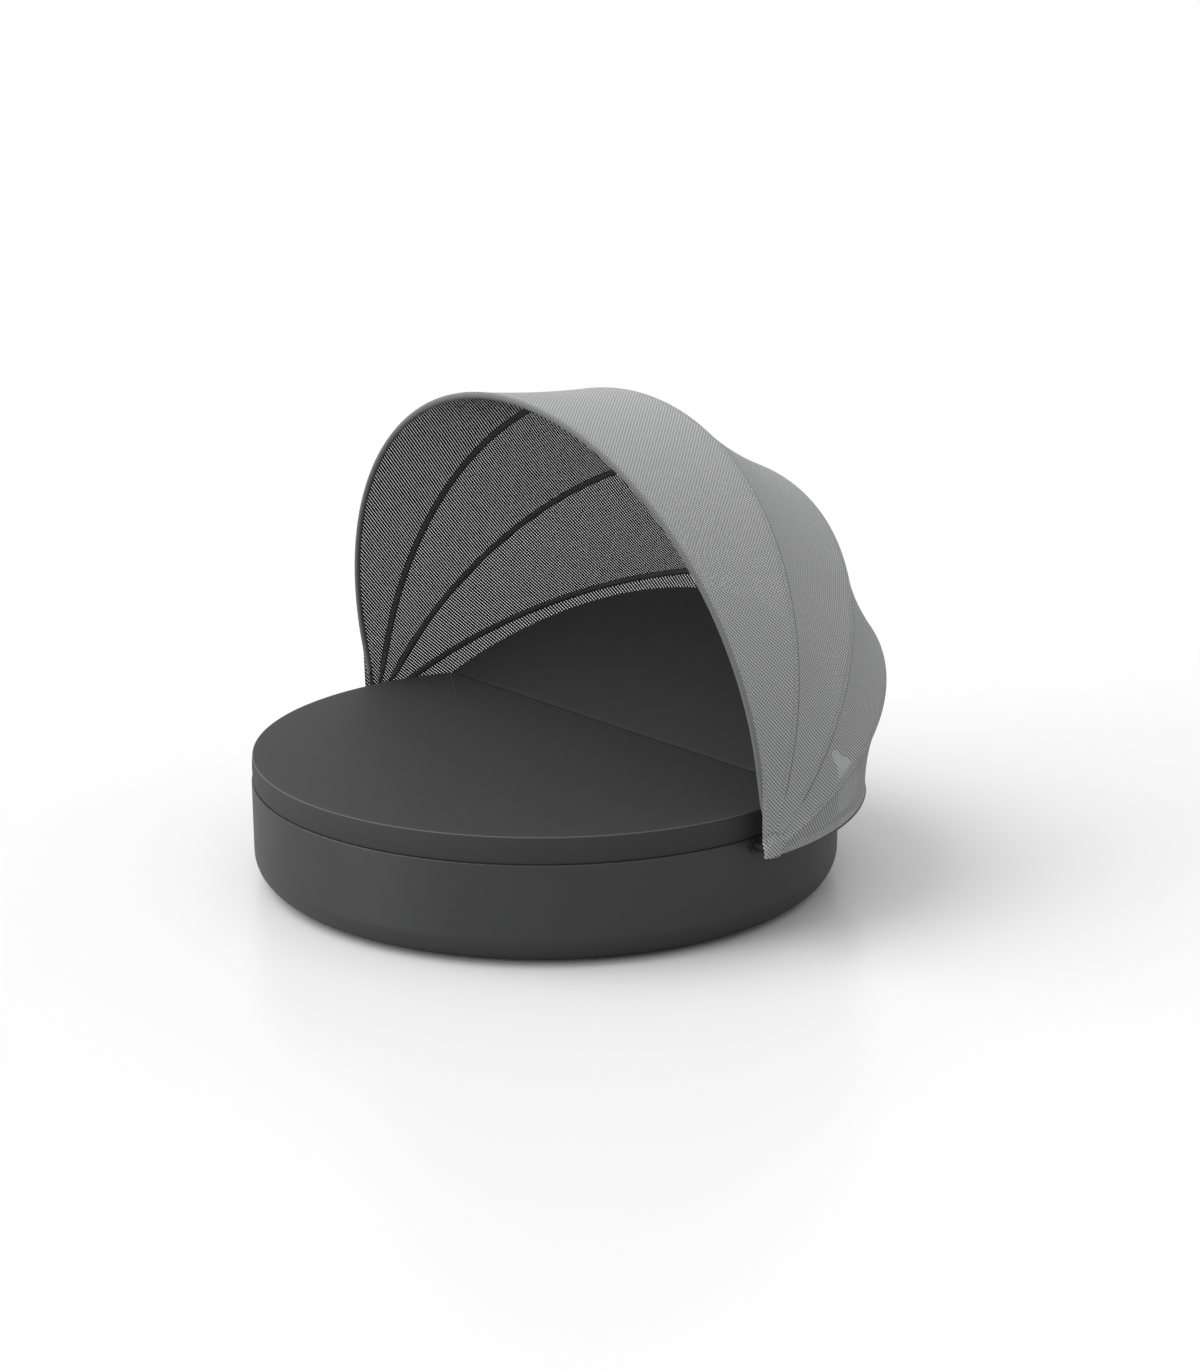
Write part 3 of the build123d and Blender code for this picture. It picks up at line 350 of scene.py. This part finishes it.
def turned_up(points):
    """The rear pad turned up about the fold's axis; what leans over the seat there is pressed upright."""
    axis_z = mattress_top - hinge_cover
    y, z = points[:, 1] - fold, points[:, 2] - axis_z
    turned_y = fold + y * np.cos(raised) - z * np.sin(raised)
    turned_z = axis_z + y * np.sin(raised) + z * np.cos(raised)
    return np.column_stack([points[:, 0], np.maximum(turned_y, fold + fold_gap / 2), turned_z])


def cover_look(place):
    sockets = {"Vector": place, "Scale": 260.0, "Distortion": 0.6, "Detail": 1.0, "Detail Scale": 2.0}
    across, along = (
        place.node("TexWave", {"wave_type": "BANDS", "bands_direction": axis}, sockets) for axis in "XY"
    )
    weave = across * along
    slub = place.noise(70, 4, 0.65)
    cloud = place.noise(3.0, 3, 0.5)
    tone = weave * 0.35 + slub * 0.4 + cloud * 0.25
    # a thin painted highlight runs along the top edge's rounding
    # the side band is painted lighter than the top panel, as painted light on the upright side
    tone = tone + place.attribute("band") * 2.4 + place.attribute("piping") * 9.0
    # painted shade along the fold between the two parts
    tone = tone - place.attribute("crease") * 1.2
    return {
        "Base Color": tone.blend(grey(0.0143), grey(0.0253)),
        "Roughness": slub * 0.15 + 0.62,
        "Normal": (weave * 0.6 + slub * 0.4).bump(0.22, 0.0007),
    }


cover = finish("cover_fabric", cover_look, Specular_IOR_Level=0.33, Sheen_Weight=0.05)
for way, node, body in ((-1, "seat_cushion", "base"), (1, "backrest_cushion", "backrest")):
    rows = pad_rows(way)
    points, faces = closed_rows(rows)
    depth = mattress_top - points[:, 2]
    arc_share = 1 - pad_outline(way, rows.shape[1])[2]
    arc_share = np.append(np.tile(arc_share, len(rows) - 2), [0, 0])
    pad = new_piece(node + "_cover", turned_up(points) if way > 0 else points, faces, cover)
    paint(
        pad,
        # the side band painted lighter, as painted light
        band=ramp(depth, panel_edge, band_edge),
        # the painted highlight along the top edge's rounding, not along the fold
        piping=np.exp(-(((depth - piping_depth) / piping_width) ** 2)) * arc_share,
        crease=(1 - arc_share) * (depth > -same_place),  # painted shade on the fold's side and rounding, not on the crowned top
    )
    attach(pad, body)
    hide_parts(node)


# The hood's hoops are bent aluminium tubes on flat bars that turn about one bolt at each side. Tubes, bars
# and brackets are powder coated dark, with the coat's fine orange peel; the rivets are bare.
hub = np.array([0.037, 0.328])  # the hood's axis: y, z
hoop_angles = np.radians([99.8, 76.0, 50.8, 25.7, 0.0])
hoop_radii = np.array([1.117, 1.122, 1.127, 1.132, 1.109])
front_leg = 0.290
hoop_legs = front_leg * np.array([1, 0.924, 0.783, 0.514, 0])


def coated_look(place):
    peel = place.noise(520, 3, 0.55)
    chips = place.noise(90, 5, 0.7).step(0.7, 0.78)
    return {
        "Base Color": (chips * 0.5 + peel * 0.3).blend(grey(0.022), grey(0.04)),
        "Roughness": peel * 0.15 + 0.38,
        "Normal": peel.bump(0.15, 0.0005),
    }


coated = finish("coated_metal", coated_look)
dress(coated, "hood_brackets", "bracket_screws")
for number in range(1, 6):
    dress(coated, f"hoop_{number}_tube", f"hoop_{number}_blades")
    dress(steel, f"hoop_{number}_rivets")


# The canopy is one sheet of woven mesh in four bays, held out by the hoops and drawn in a little between
# them. A seam follows the crown, and at each hoop the mesh is doubled and sewn down to the hoop's pocket.
sheet_start, seat_radius, sheet_thickness, pocket_lean = 0.060, 0.0114, 0.0006, np.radians(24)
bay_sags = (0.015, 0.035, 0.04, 0.04)
yarn_pitch = 0.0098
bay_yarn_angles = np.radians([45, 19, -14, -37])
past_seams = 0.05  # a length at which mesh_look draws no seam
front_hem, hem_fade, hem_fold = 0.015, 0.002, 0.0008  # the folded front edge: width, fade, thickening
hem_lengths, seam_lengths = (0.15, 0.20), (0.17, 0.20)  # where each fades in, measured from the hub
strip_half, stitch_line = 0.008, 0.0115  # from a hoop's crest: the doubled strip, and its stitch line, which also carries painted shade
strip_fade, stitch_half, crown_half = 0.0015, (0.0018, 0.0034), (0.0025, 0.004)  # pairs: full, faded
hole_ends, hole_sides = (0.74, 0.86), (-0.75, -0.45)  # heights of the yarns' sines where a hole opens


def hoop_length(number):
    """Length of a hoop's centre line: a straight leg, a half circle and a straight leg."""
    return 2 * hoop_legs[number] + np.pi * hoop_radii[number]


def along_hoop(number, share, start):
    """Centre line of a hoop, its outward and sideways directions and the length from its first end.

    share runs from 0 at one side to 1 at the other, with a stretch of start left out at both ends."""
    radius, leg, angle = hoop_radii[number], hoop_legs[number], hoop_angles[number]
    total = hoop_length(number)
    length = start + (total - 2 * start) * share
    turn = np.clip((length - leg) / radius, 0, np.pi)
    bend = leg + radius * np.sin(turn)
    rise = np.where(length < leg, length, np.where(length > total - leg, total - length, bend))
    side, up = np.array([1, 0, 0]), np.array([0, np.cos(angle), np.sin(angle)])
    middle = np.array([0, *hub]) + radius * np.cos(turn)[:, None] * side + rise[:, None] * up
    outward = np.cos(turn)[:, None] * side + np.sin(turn)[:, None] * up
    return middle, outward, np.array([0, -np.sin(angle), np.cos(angle)]), length


def unit(vectors):
    return vectors / np.linalg.norm(vectors, axis=-1, keepdims=True)


def walked(path):
    """Length walked along a line of points, up to each of them."""
    return np.concatenate([[0], np.cumsum(np.linalg.norm(np.diff(path, axis=0), axis=1))])


def mesh_look(place):
    """Two families of yarns with holes between them, closed where the sheet is doubled, hemmed or seamed.

    The stitch lines lie just off the pockets, each bay's front one drawn dark and full as painted shade of
    the valley beside that pocket, and the doubled strips show a row of stitch dots."""
    from_crown, rear, front, hem, sewn = (
        place.attribute(name) for name in ("from_crown", "from_rear", "from_front", "hem", "sewn")
    )
    one, two = (place.attribute(name).wave(yarn_pitch) for name in ("yarn_1", "yarn_2"))
    near = rear.math("MINIMUM", front)
    doubled = ((1 - near.step(strip_half, strip_half + strip_fade)) * sewn).math("MAXIMUM", hem)
    rear_line, front_line = (
        1 - (run - stitch_line).math("ABSOLUTE").step(*stitch_half) for run in (rear, front)
    )
    # each bay's stitch line by its front pocket is drawn full, as painted shade of the valley there; the
    # one by its rear pocket is faint
    stitch_and_shade = front_line.math("MAXIMUM", rear_line * 0.25) * sewn * (1 - hem)
    dots = (from_crown.wave(yarn_pitch) * near.wave(yarn_pitch)).step(-0.05, 0.25) * doubled
    solid = doubled.math("MAXIMUM", 1 - from_crown.step(*crown_half))
    hole = one.step(*hole_ends) * two.step(*hole_sides) * (1 - solid)
    valley = (one * 0.6 + two * 0.4) * 0.5 + 0.5
    outside = (valley * -0.95 + doubled * 0.2 + 1.125).blend(grey(0.1), grey(0.62))
    # the inner face is painted far darker than the outer: partly a darker yarn on that side, partly painted
    # shade for the hood's inside
    inner_yarn_and_shade = one.step(0.1, 0.9).blend(grey(0.012), grey(0.08))
    dark = (stitch_and_shade * 0.9).math("MAXIMUM", dots)
    yarn = place.attribute("inside").blend(outside, inner_yarn_and_shade)
    return {
        "Base Color": (dark * 0.85).blend(yarn, (0.25, 0.25, 0.25), "MULTIPLY"),
        "Alpha": 1 - hole,
        "Roughness": valley * 0.1 + 0.62,
        "Normal": (valley * -1 - dark * 0.8).bump(0.5, 0.0012),
    }


mesh_fabric = finish("mesh_fabric", mesh_look, Specular_IOR_Level=0.25)


def sheet_piece(name, inner, outward, thick, yarn_angle, along, across, **fields):
    """A piece of the mesh: a closed thin shell of an inner grid, an outer one and the four rims.

    along and across are each point's lengths in the flat sheet; the first family of yarns crosses them
    at yarn_angle and the second lies square to it. fields are what mesh_look reads besides."""
    shape = inner.shape[:2]
    outer = inner + outward * np.broadcast_to(thick, shape)[..., None]
    index = np.arange(inner[..., 0].size).reshape(shape)
    face = np.stack([index[:-1, :-1], index[:-1, 1:], index[1:, 1:], index[1:, :-1]], -1).reshape(-1, 4)
    rim = np.concatenate([index[0, :], index[1:, -1], index[-1, -2::-1], index[-2:0:-1, 0]])
    onward = np.roll(rim, -1)
    edge = np.stack([rim, rim + index.size, onward + index.size, onward], -1)
    faces = np.concatenate([face, face[:, ::-1] + index.size, edge]).tolist()
    points = np.concatenate([outer.reshape(-1, 3), inner.reshape(-1, 3)])
    piece = new_piece(name, points, faces, mesh_fabric)
    fields["yarn_1"] = along * np.cos(yarn_angle) + across * np.sin(yarn_angle)
    fields["yarn_2"] = across * np.cos(yarn_angle) - along * np.sin(yarn_angle)
    doubled = {field: np.tile(np.broadcast_to(grid, shape).ravel(), 2) for field, grid in fields.items()}
    paint(piece, inside=np.repeat([0, 1], index.size), **doubled)
    return piece


def on_pocket(outward, sideways, lean):
    """Direction from a hoop's centre line to where the sheet touches its pocket at this lean."""
    return outward * np.cos(lean) + sideways * np.sin(lean)


def bay_sheet(front, rows=361, wide=44):
    """One bay between two hoops: rows run along the hoops, columns from the rear hoop to the front one.

    A row starts on top of the rear pocket, leaves it at a fixed lean, crosses as a shallow parabola
    that sags by a share of the bay's width, and ends on top of the front pocket."""
    share = np.linspace(0, 1, rows)
    rear, rear_out, rear_side, _ = along_hoop(front + 1, share, sheet_start)
    fore, fore_out, fore_side, _ = along_hoop(front, share, sheet_start)
    columns = []
    start = rear + seat_radius * on_pocket(rear_out, rear_side, pocket_lean)
    end = fore + seat_radius * on_pocket(fore_out, -fore_side, pocket_lean)
    width = np.linalg.norm(end - start, axis=1)
    across = unit(end - start)
    face = np.cross(unit(np.cross(across, fore_out + rear_out)), across)
    leans = np.linspace(0, pocket_lean, 5)
    for lean in leans[:-1]:
        off = on_pocket(rear_out, rear_side, lean)
        columns.append((rear + seat_radius * off, off, np.zeros(rows)))
    for t in np.linspace(0, 1, wide):
        sag = 4 * t * (1 - t) * bay_sags[front] * width
        slope = 4 * (1 - 2 * t) * bay_sags[front]
        point = start + across * (t * width)[:, None] - face * sag[:, None]
        columns.append((point, unit(face + across * slope), np.full(rows, t)))
    for lean in leans[-2::-1]:
        off = on_pocket(fore_out, -fore_side, lean)
        columns.append((fore + seat_radius * off, off, np.ones(rows)))
    return [np.stack(column, 1) for column in zip(*columns)]


def put_bay(front):
    """Lays one bay over its two pockets; gives its inner grid, whose ends the corners join."""
    inner, normal, weight = bay_sheet(front)
    steps = np.linalg.norm(np.diff(inner, axis=1), axis=2)
    from_rear = np.concatenate([np.zeros((len(inner), 1)), np.cumsum(steps, 1)], 1)
    from_front = from_rear[:, -1:] - from_rear
    run = walked(inner[:, inner.shape[1] // 2])
    from_crown = np.abs(run - run[-1] / 2)[:, None] * np.ones(inner.shape[1])
    to_hub = np.maximum(sheet_start + from_crown[:, :1].max() - from_crown, 0)
    hem = np.zeros_like(weight)
    if front == 0:
        hem = (1 - ramp(from_front, front_hem, front_hem + hem_fade)) * ramp(to_hub, *hem_lengths)
    piece = sheet_piece(
        f"canopy_bay_{front + 1}", inner, normal, sheet_thickness + hem_fold * hem,
        bay_yarn_angles[front], from_crown, from_rear - from_rear[:, -1:] / 2,
        from_rear=from_rear, from_front=from_front, from_crown=from_crown,
        hem=hem, sewn=ramp(to_hub, *seam_lengths),
    )
    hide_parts(f"canopy_panel_{front + 1}")
    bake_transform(piece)
    return inner


bay_grids = [put_bay(front) for front in range(4)]


# Each hoop's pocket is a strip of the same yarn, woven close and sewn round the tube, and it runs on down
# the flat bars as a strap. The front one is lighter: it is the hood's bound edge.
strap_half, tube_half = (0.0024, 0.0095), (0.0113, 0.0113)  # half sizes outward and sideways
strap_end, tube_start = 0.125, 0.165  # where the strap widens to the tube, measured from the hub
pale_strap, dark_tube = 0.15, 0.21  # where the strap's pale yarn gives way, measured from the hub
front_pocket_start, pocket_start = 0.030, 0.060
weave_radius = 0.0126  # makes the weave's squares even round the tube
front_paleness, strap_paleness = 0.52, 0.22
crest_cosines = (0.75, 0.90)  # of the turn round the tube, between which its pale crest fades in from the dark painted round the rest, partly a darker inner yarn and partly painted shade


def ring_tube(middle, first, second, around=20):
    """Rings round a line, ellipses on two half axes; the first and the last are drawn in to a point."""
    turn = np.linspace(0, 2 * np.pi, around, endpoint=False)
    ring = np.cos(turn)[None, :, None] * first[:, None] + np.sin(turn)[None, :, None] * second[:, None]
    start, end = (np.repeat(point[:, None], around, 1) for point in (middle[:1], middle[-1:]))
    return np.concatenate([start, middle[:, None] + ring, end]), turn


def pocket_look(place):
    run, turn, light = (place.attribute(name) for name in ("run", "turn", "light"))
    diagonal = yarn_pitch * np.sqrt(2)
    weave = ((run + turn).wave(diagonal) + (run - turn).wave(diagonal)) * 0.25 + 0.5
    dark = (weave * 0.6 + 0.2).blend(grey(0.05), grey(0.13))
    pale = (weave * -0.6 + 0.8).blend(grey(0.08), grey(0.46))
    return {
        # dark round all but the crest: partly a darker inner yarn, partly painted shade inside the hood
        "Base Color": light.blend(dark, pale),
        "Roughness": weave * 0.1 + 0.68,
        "Normal": weave.bump(0.4, 0.0009),
    }


pocket_fabric = finish("pocket_fabric", pocket_look, Specular_IOR_Level=0.25)
for number in range(5):
    share = np.linspace(0, 1, 361)
    start = front_pocket_start if number == 0 else pocket_start
    middle, outward, sideways, length = along_hoop(number, share, start)
    total = hoop_length(number)
    to_hub = np.minimum(length, total - length)
    widened = ramp(to_hub, strap_end, tube_start)
    widened = (widened**2 * (3 - 2 * widened))[:, None]
    half = [strap + (tube - strap) * widened for strap, tube in zip(strap_half, tube_half)]
    rows, turn = ring_tube(middle, outward * half[0], sideways * half[1])
    points, faces = closed_rows(rows)
    piece = new_piece(f"hoop_{number + 1}_pocket", points, faces, pocket_fabric)
    lean = np.concatenate([np.tile(turn, len(share)), [0, 0]])
    run = np.concatenate([np.repeat(length, len(turn)), [length[0], length[-1]]])
    crest_light = ramp(np.cos(lean), *crest_cosines)
    strap_light = (1 - ramp(np.minimum(run, total - run), pale_strap, dark_tube)) * strap_paleness
    light = np.maximum(crest_light, strap_light)
    if number == 0:
        light = np.maximum(light, front_paleness)
    paint(piece, run=run, turn=lean * weave_radius, light=light)
    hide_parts(f"hoop_{number + 1}_sleeve")
    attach(piece, f"hoop_{number + 1}" if number < 4 else "base")


# Below the rear hoop a strip of the mesh hangs down past the tub's rim. It is sewn to the rear hoop's
# pocket, and its lower edge is a folded hem.
hem_drop, skirt_fold, skirt_sag = 0.026, 0.0009, 0.0006
skirt_hem = (0.62, 0.67)  # shares of the drop between which the hem thickens


def put_skirt():
    """The strip hangs from the rear pocket's crest, drawn in by a half sine; gives its lower edge."""
    middle, outward, sideways, length = along_hoop(4, np.linspace(0, 1, 301), sheet_start)
    drops = np.linspace(0, 1, 9)
    reach = (seat_radius - skirt_sag * np.sin(np.pi * drops))[:, None]
    inner = middle[:, None] + outward[:, None] * reach - sideways * (hem_drop * drops)[:, None]
    edge = ramp(drops, *skirt_hem)
    thick = sheet_thickness + skirt_fold * edge
    down = hem_drop * drops
    from_crown = np.abs(length - hoop_length(4) / 2)[:, None]
    piece = sheet_piece(
        "rear_skirt", inner, outward[:, None], thick, bay_yarn_angles[3], from_crown, -down,
        from_rear=down, from_front=down + past_seams, from_crown=from_crown, hem=edge,
    )
    run = float(length[-1] - length[0])
    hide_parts("lower_hem")
    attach(piece, "base")
    return inner[:, -1] + outward * thick[-1] / 2


skirt_edge = put_skirt()


# At each side the mesh runs on ahead of the front pocket's strap as a narrow flap, cut straight down to
# the hood's pointed tip. It is sewn to the strap and turns with the front hoop.
corner_tip, flap_top = (-0.002, 0.3125), 0.28  # the tip's y and z; where the cut leaves the hoop's crest
flap_end = 0.985  # the share of the climb at which the flap has run out to nothing


def flap_line(side, climb):
    """The front pocket's crest, the corner's tip and the hood's straight front edge, at one side.

    climb is 0 where the bays start and 1 where the edge leaves the crest."""
    clear = hoop_length(0) - 2 * sheet_start
    share = np.concatenate([climb, [0, 1]]) * (flap_top - sheet_start) / clear
    middle, outward, _, _ = along_hoop(0, share, sheet_start)
    crest = (middle + seat_radius * outward) * np.array([side, 1, 1])
    low, high = crest[-2:]
    tip = np.array([low[0], *corner_tip])
    level = low + (high - low) * climb[:, None]
    fraction = (level[:, 2] - tip[2]) / (high[2] - tip[2])
    return crest[:-2], tip, tip + (high - tip) * fraction[:, None]


def put_flap(side):
    """A ruled strip from the pocket's crest to the straight edge, as thick as a folded hem."""
    crest, _, edge_line = flap_line(side, np.linspace(0, flap_end, 30))
    across = np.linspace(0, 1, 6)[None, :, None]
    inner = crest[:, None] * (1 - across) + edge_line[:, None] * across
    piece = sheet_piece(
        "flap_right" if side > 0 else "flap_left", inner, np.array([side, 0, 0]),
        sheet_thickness + hem_fold, bay_yarn_angles[0], inner[..., 2] - hub[1], inner[..., 1] - hub[0],
        from_rear=past_seams, from_front=past_seams, from_crown=past_seams, hem=0.0,
    )
    widest = float(np.linalg.norm(crest[0] - edge_line[0]))
    longest = float(np.linalg.norm(edge_line[-1] - edge_line[0]))
    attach(piece, "hoop_1")


for side in (1, -1):
    put_flap(side)


# A pointed corner of the mesh covers each pivot. It joins the bays' lower ends and stays with the tub's
# bracket, and its straight lower edge is a folded hem from the tip to the skirt.
mound_radius, mound_gain, bolt_clear = 0.060, 2.4, 1.1412  # the bulge over the bolt's head, and its x
corner_hem, hem_from = (0.08, 0.12), (0.35, 0.45)  # shares: of the rise, and of the walk from the tip


def put_corner(side):
    """The sheet is ruled between the bays' lower ends and the straight hem.

    Over the bolt's head it swells outward as a cosine mound, cut flat at its top."""
    top = np.concatenate([grid[0 if side > 0 else -1, ::-1] for grid in bay_grids])
    top = top[np.append(True, np.diff(walked(top)) > same_place)]
    _, tip, edge_line = flap_line(side, np.zeros(1))
    top = np.concatenate([edge_line, top])
    heel = np.array([*top[-1][:2], hub[1] - hem_drop])
    walk = walked(top)
    walk = walk / walk[-1]
    low = tip + (heel - tip) * walk[:, None]
    rise = np.linspace(0, 1, 25)
    inner = low[:, None] * (1 - rise)[None, :, None] + top[:, None] * rise[None, :, None]
    flat_y, flat_z = inner[..., 1] - hub[0], inner[..., 2] - hub[1]
    mound = 0.5 + 0.5 * np.cos(np.pi * np.clip(np.hypot(flat_y, flat_z) / mound_radius, 0, 1))
    lift = np.maximum(0.0, bolt_clear - np.abs(inner[..., 0])) * np.clip(mound * mound_gain, 0, 1)
    inner[..., 0] += side * lift
    edge = (1 - ramp(rise, *corner_hem)) * ramp(walk, *hem_from)[:, None]
    piece = sheet_piece(
        "corner_right" if side > 0 else "corner_left", inner, np.array([side, 0, 0]),
        sheet_thickness + skirt_fold * edge, bay_yarn_angles[0], flat_z, flat_y,
        from_rear=past_seams, from_front=past_seams, from_crown=past_seams, hem=edge,
    )
    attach(piece, "base")
    if side > 0:
        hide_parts("side_gussets")


for side in (1, -1):
    put_corner(side)


# A thin cord is sewn into the skirt's hem all round the back and keeps its edge firm. It is wrapped in the
# same close weave as the pockets.
cord_radius, cord_drop = 0.0034, 0.0012


def put_bead(path, radius):
    """A cord along a level line; its rings stand square to the line."""
    tangent = unit(np.gradient(path, axis=0))
    upright = np.broadcast_to(np.array([0.0, 0.0, 1.0]), path.shape)
    level = unit(np.cross(tangent, upright))
    rows, turn = ring_tube(path, level * radius, upright * radius, 10)
    points, faces = closed_rows(rows)
    piece = new_piece("hem_bead", points, faces, pocket_fabric)
    walk = walked(path)
    run = np.concatenate([np.repeat(walk, len(turn)), [0, walk[-1]]])
    paint(piece, run=run, turn=np.zeros(len(run)), light=np.zeros(len(run)))
    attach(piece, "base")


put_bead(skirt_edge - np.array([0, 0, cord_drop]), cord_radius)


# Studio: a pale floor that takes a soft shadow and a faint reflection, and a white surround that shines
# less than the camera sees. A broad key light stands to the left, a low one faces the hood's opening and
# a very broad one hangs overhead.
floor_reach = 60
floor_mesh = bpy.data.meshes.new("studio_floor")
floor_corners = [(x * floor_reach, y * floor_reach, 0) for x, y in ((-1, -1), (1, -1), (1, 1), (-1, 1))]
floor_mesh.from_pydata(floor_corners, [], [(0, 1, 2, 3)])
floor = bpy.data.objects.new("studio_floor", floor_mesh)
bpy.context.scene.collection.objects.link(floor)


def floor_look(place):
    """The camera sees a paler floor than the one that throws light back up."""
    seen = place.node("LightPath")
    cloud = place.noise(0.4, 2, 0.5)
    return {"Base Color": seen.blend((0.45,) * 3, (0.93,) * 3), "Roughness": cloud * 0.04 + 0.22}


floor_mesh.materials.append(finish("studio_floor", floor_look, IOR=1.25))

ambient = 0.39
world = bpy.data.worlds.new("studio")
bpy.context.scene.world = world
world.use_nodes = True
tree = world.node_tree
tree.nodes.clear()
out = tree.nodes.new("ShaderNodeOutputWorld")
background = tree.nodes.new("ShaderNodeBackground")
tree.links.new(background.outputs[0], out.inputs[0])
ray = tree.nodes.new("ShaderNodeLightPath")
seen = Value(tree, ray.outputs["Is Camera Ray"])
for kind in ("Is Glossy Ray", "Is Transmission Ray"):
    seen = seen.math("MAXIMUM", Value(tree, ray.outputs[kind]))
strength = seen * (1 - ambient) + ambient
tree.links.new(strength.socket, background.inputs["Strength"])
background.inputs["Color"].default_value = (1, 1, 1, 1)

for name, angle, energy, aim in (
    ("key", 50, 1.3, (0.42, 0.46, -0.80)),
    ("low_key", 30, 0.85, (0.26, 0.93, -0.25)),
    ("overhead", 110, 0.92, (0.05, 0.1, -1.0)),
):
    lamp = bpy.data.lights.new(name, "SUN")
    lamp.angle = np.radians(angle)
    lamp.energy = energy
    light = bpy.data.objects.new(name, lamp)
    bpy.context.scene.collection.objects.link(light)
    light.rotation_mode = "QUATERNION"
    light.rotation_quaternion = Vector(aim).to_track_quat("-Z", "Y")


# The camera stands at the photograph's place and looks down by pitch. The bed is turned away from it by
# bed_turn, and the aim passes the bed by yaw, because the bed isn't in the middle of the picture.
pitch, yaw, bed_turn = 0.268955, 0.025385, np.radians(51.3)
heading = bed_turn - yaw
level_aim = np.cos(pitch) * np.array([-np.sin(heading), np.cos(heading)])
camera_data = bpy.data.cameras.new("camera")
camera_data.sensor_width = 36
camera_data.lens = 62.82
camera = bpy.data.objects.new("camera", camera_data)
bpy.context.scene.collection.objects.link(camera)
camera.location = (6.431, -5.171, 2.935)
camera.rotation_mode = "QUATERNION"
camera.rotation_quaternion = Vector((*level_aim, -np.sin(pitch))).to_track_quat("-Z", "Y")
bpy.context.scene.camera = camera
bpy.context.scene.view_settings.view_transform = "Standard"
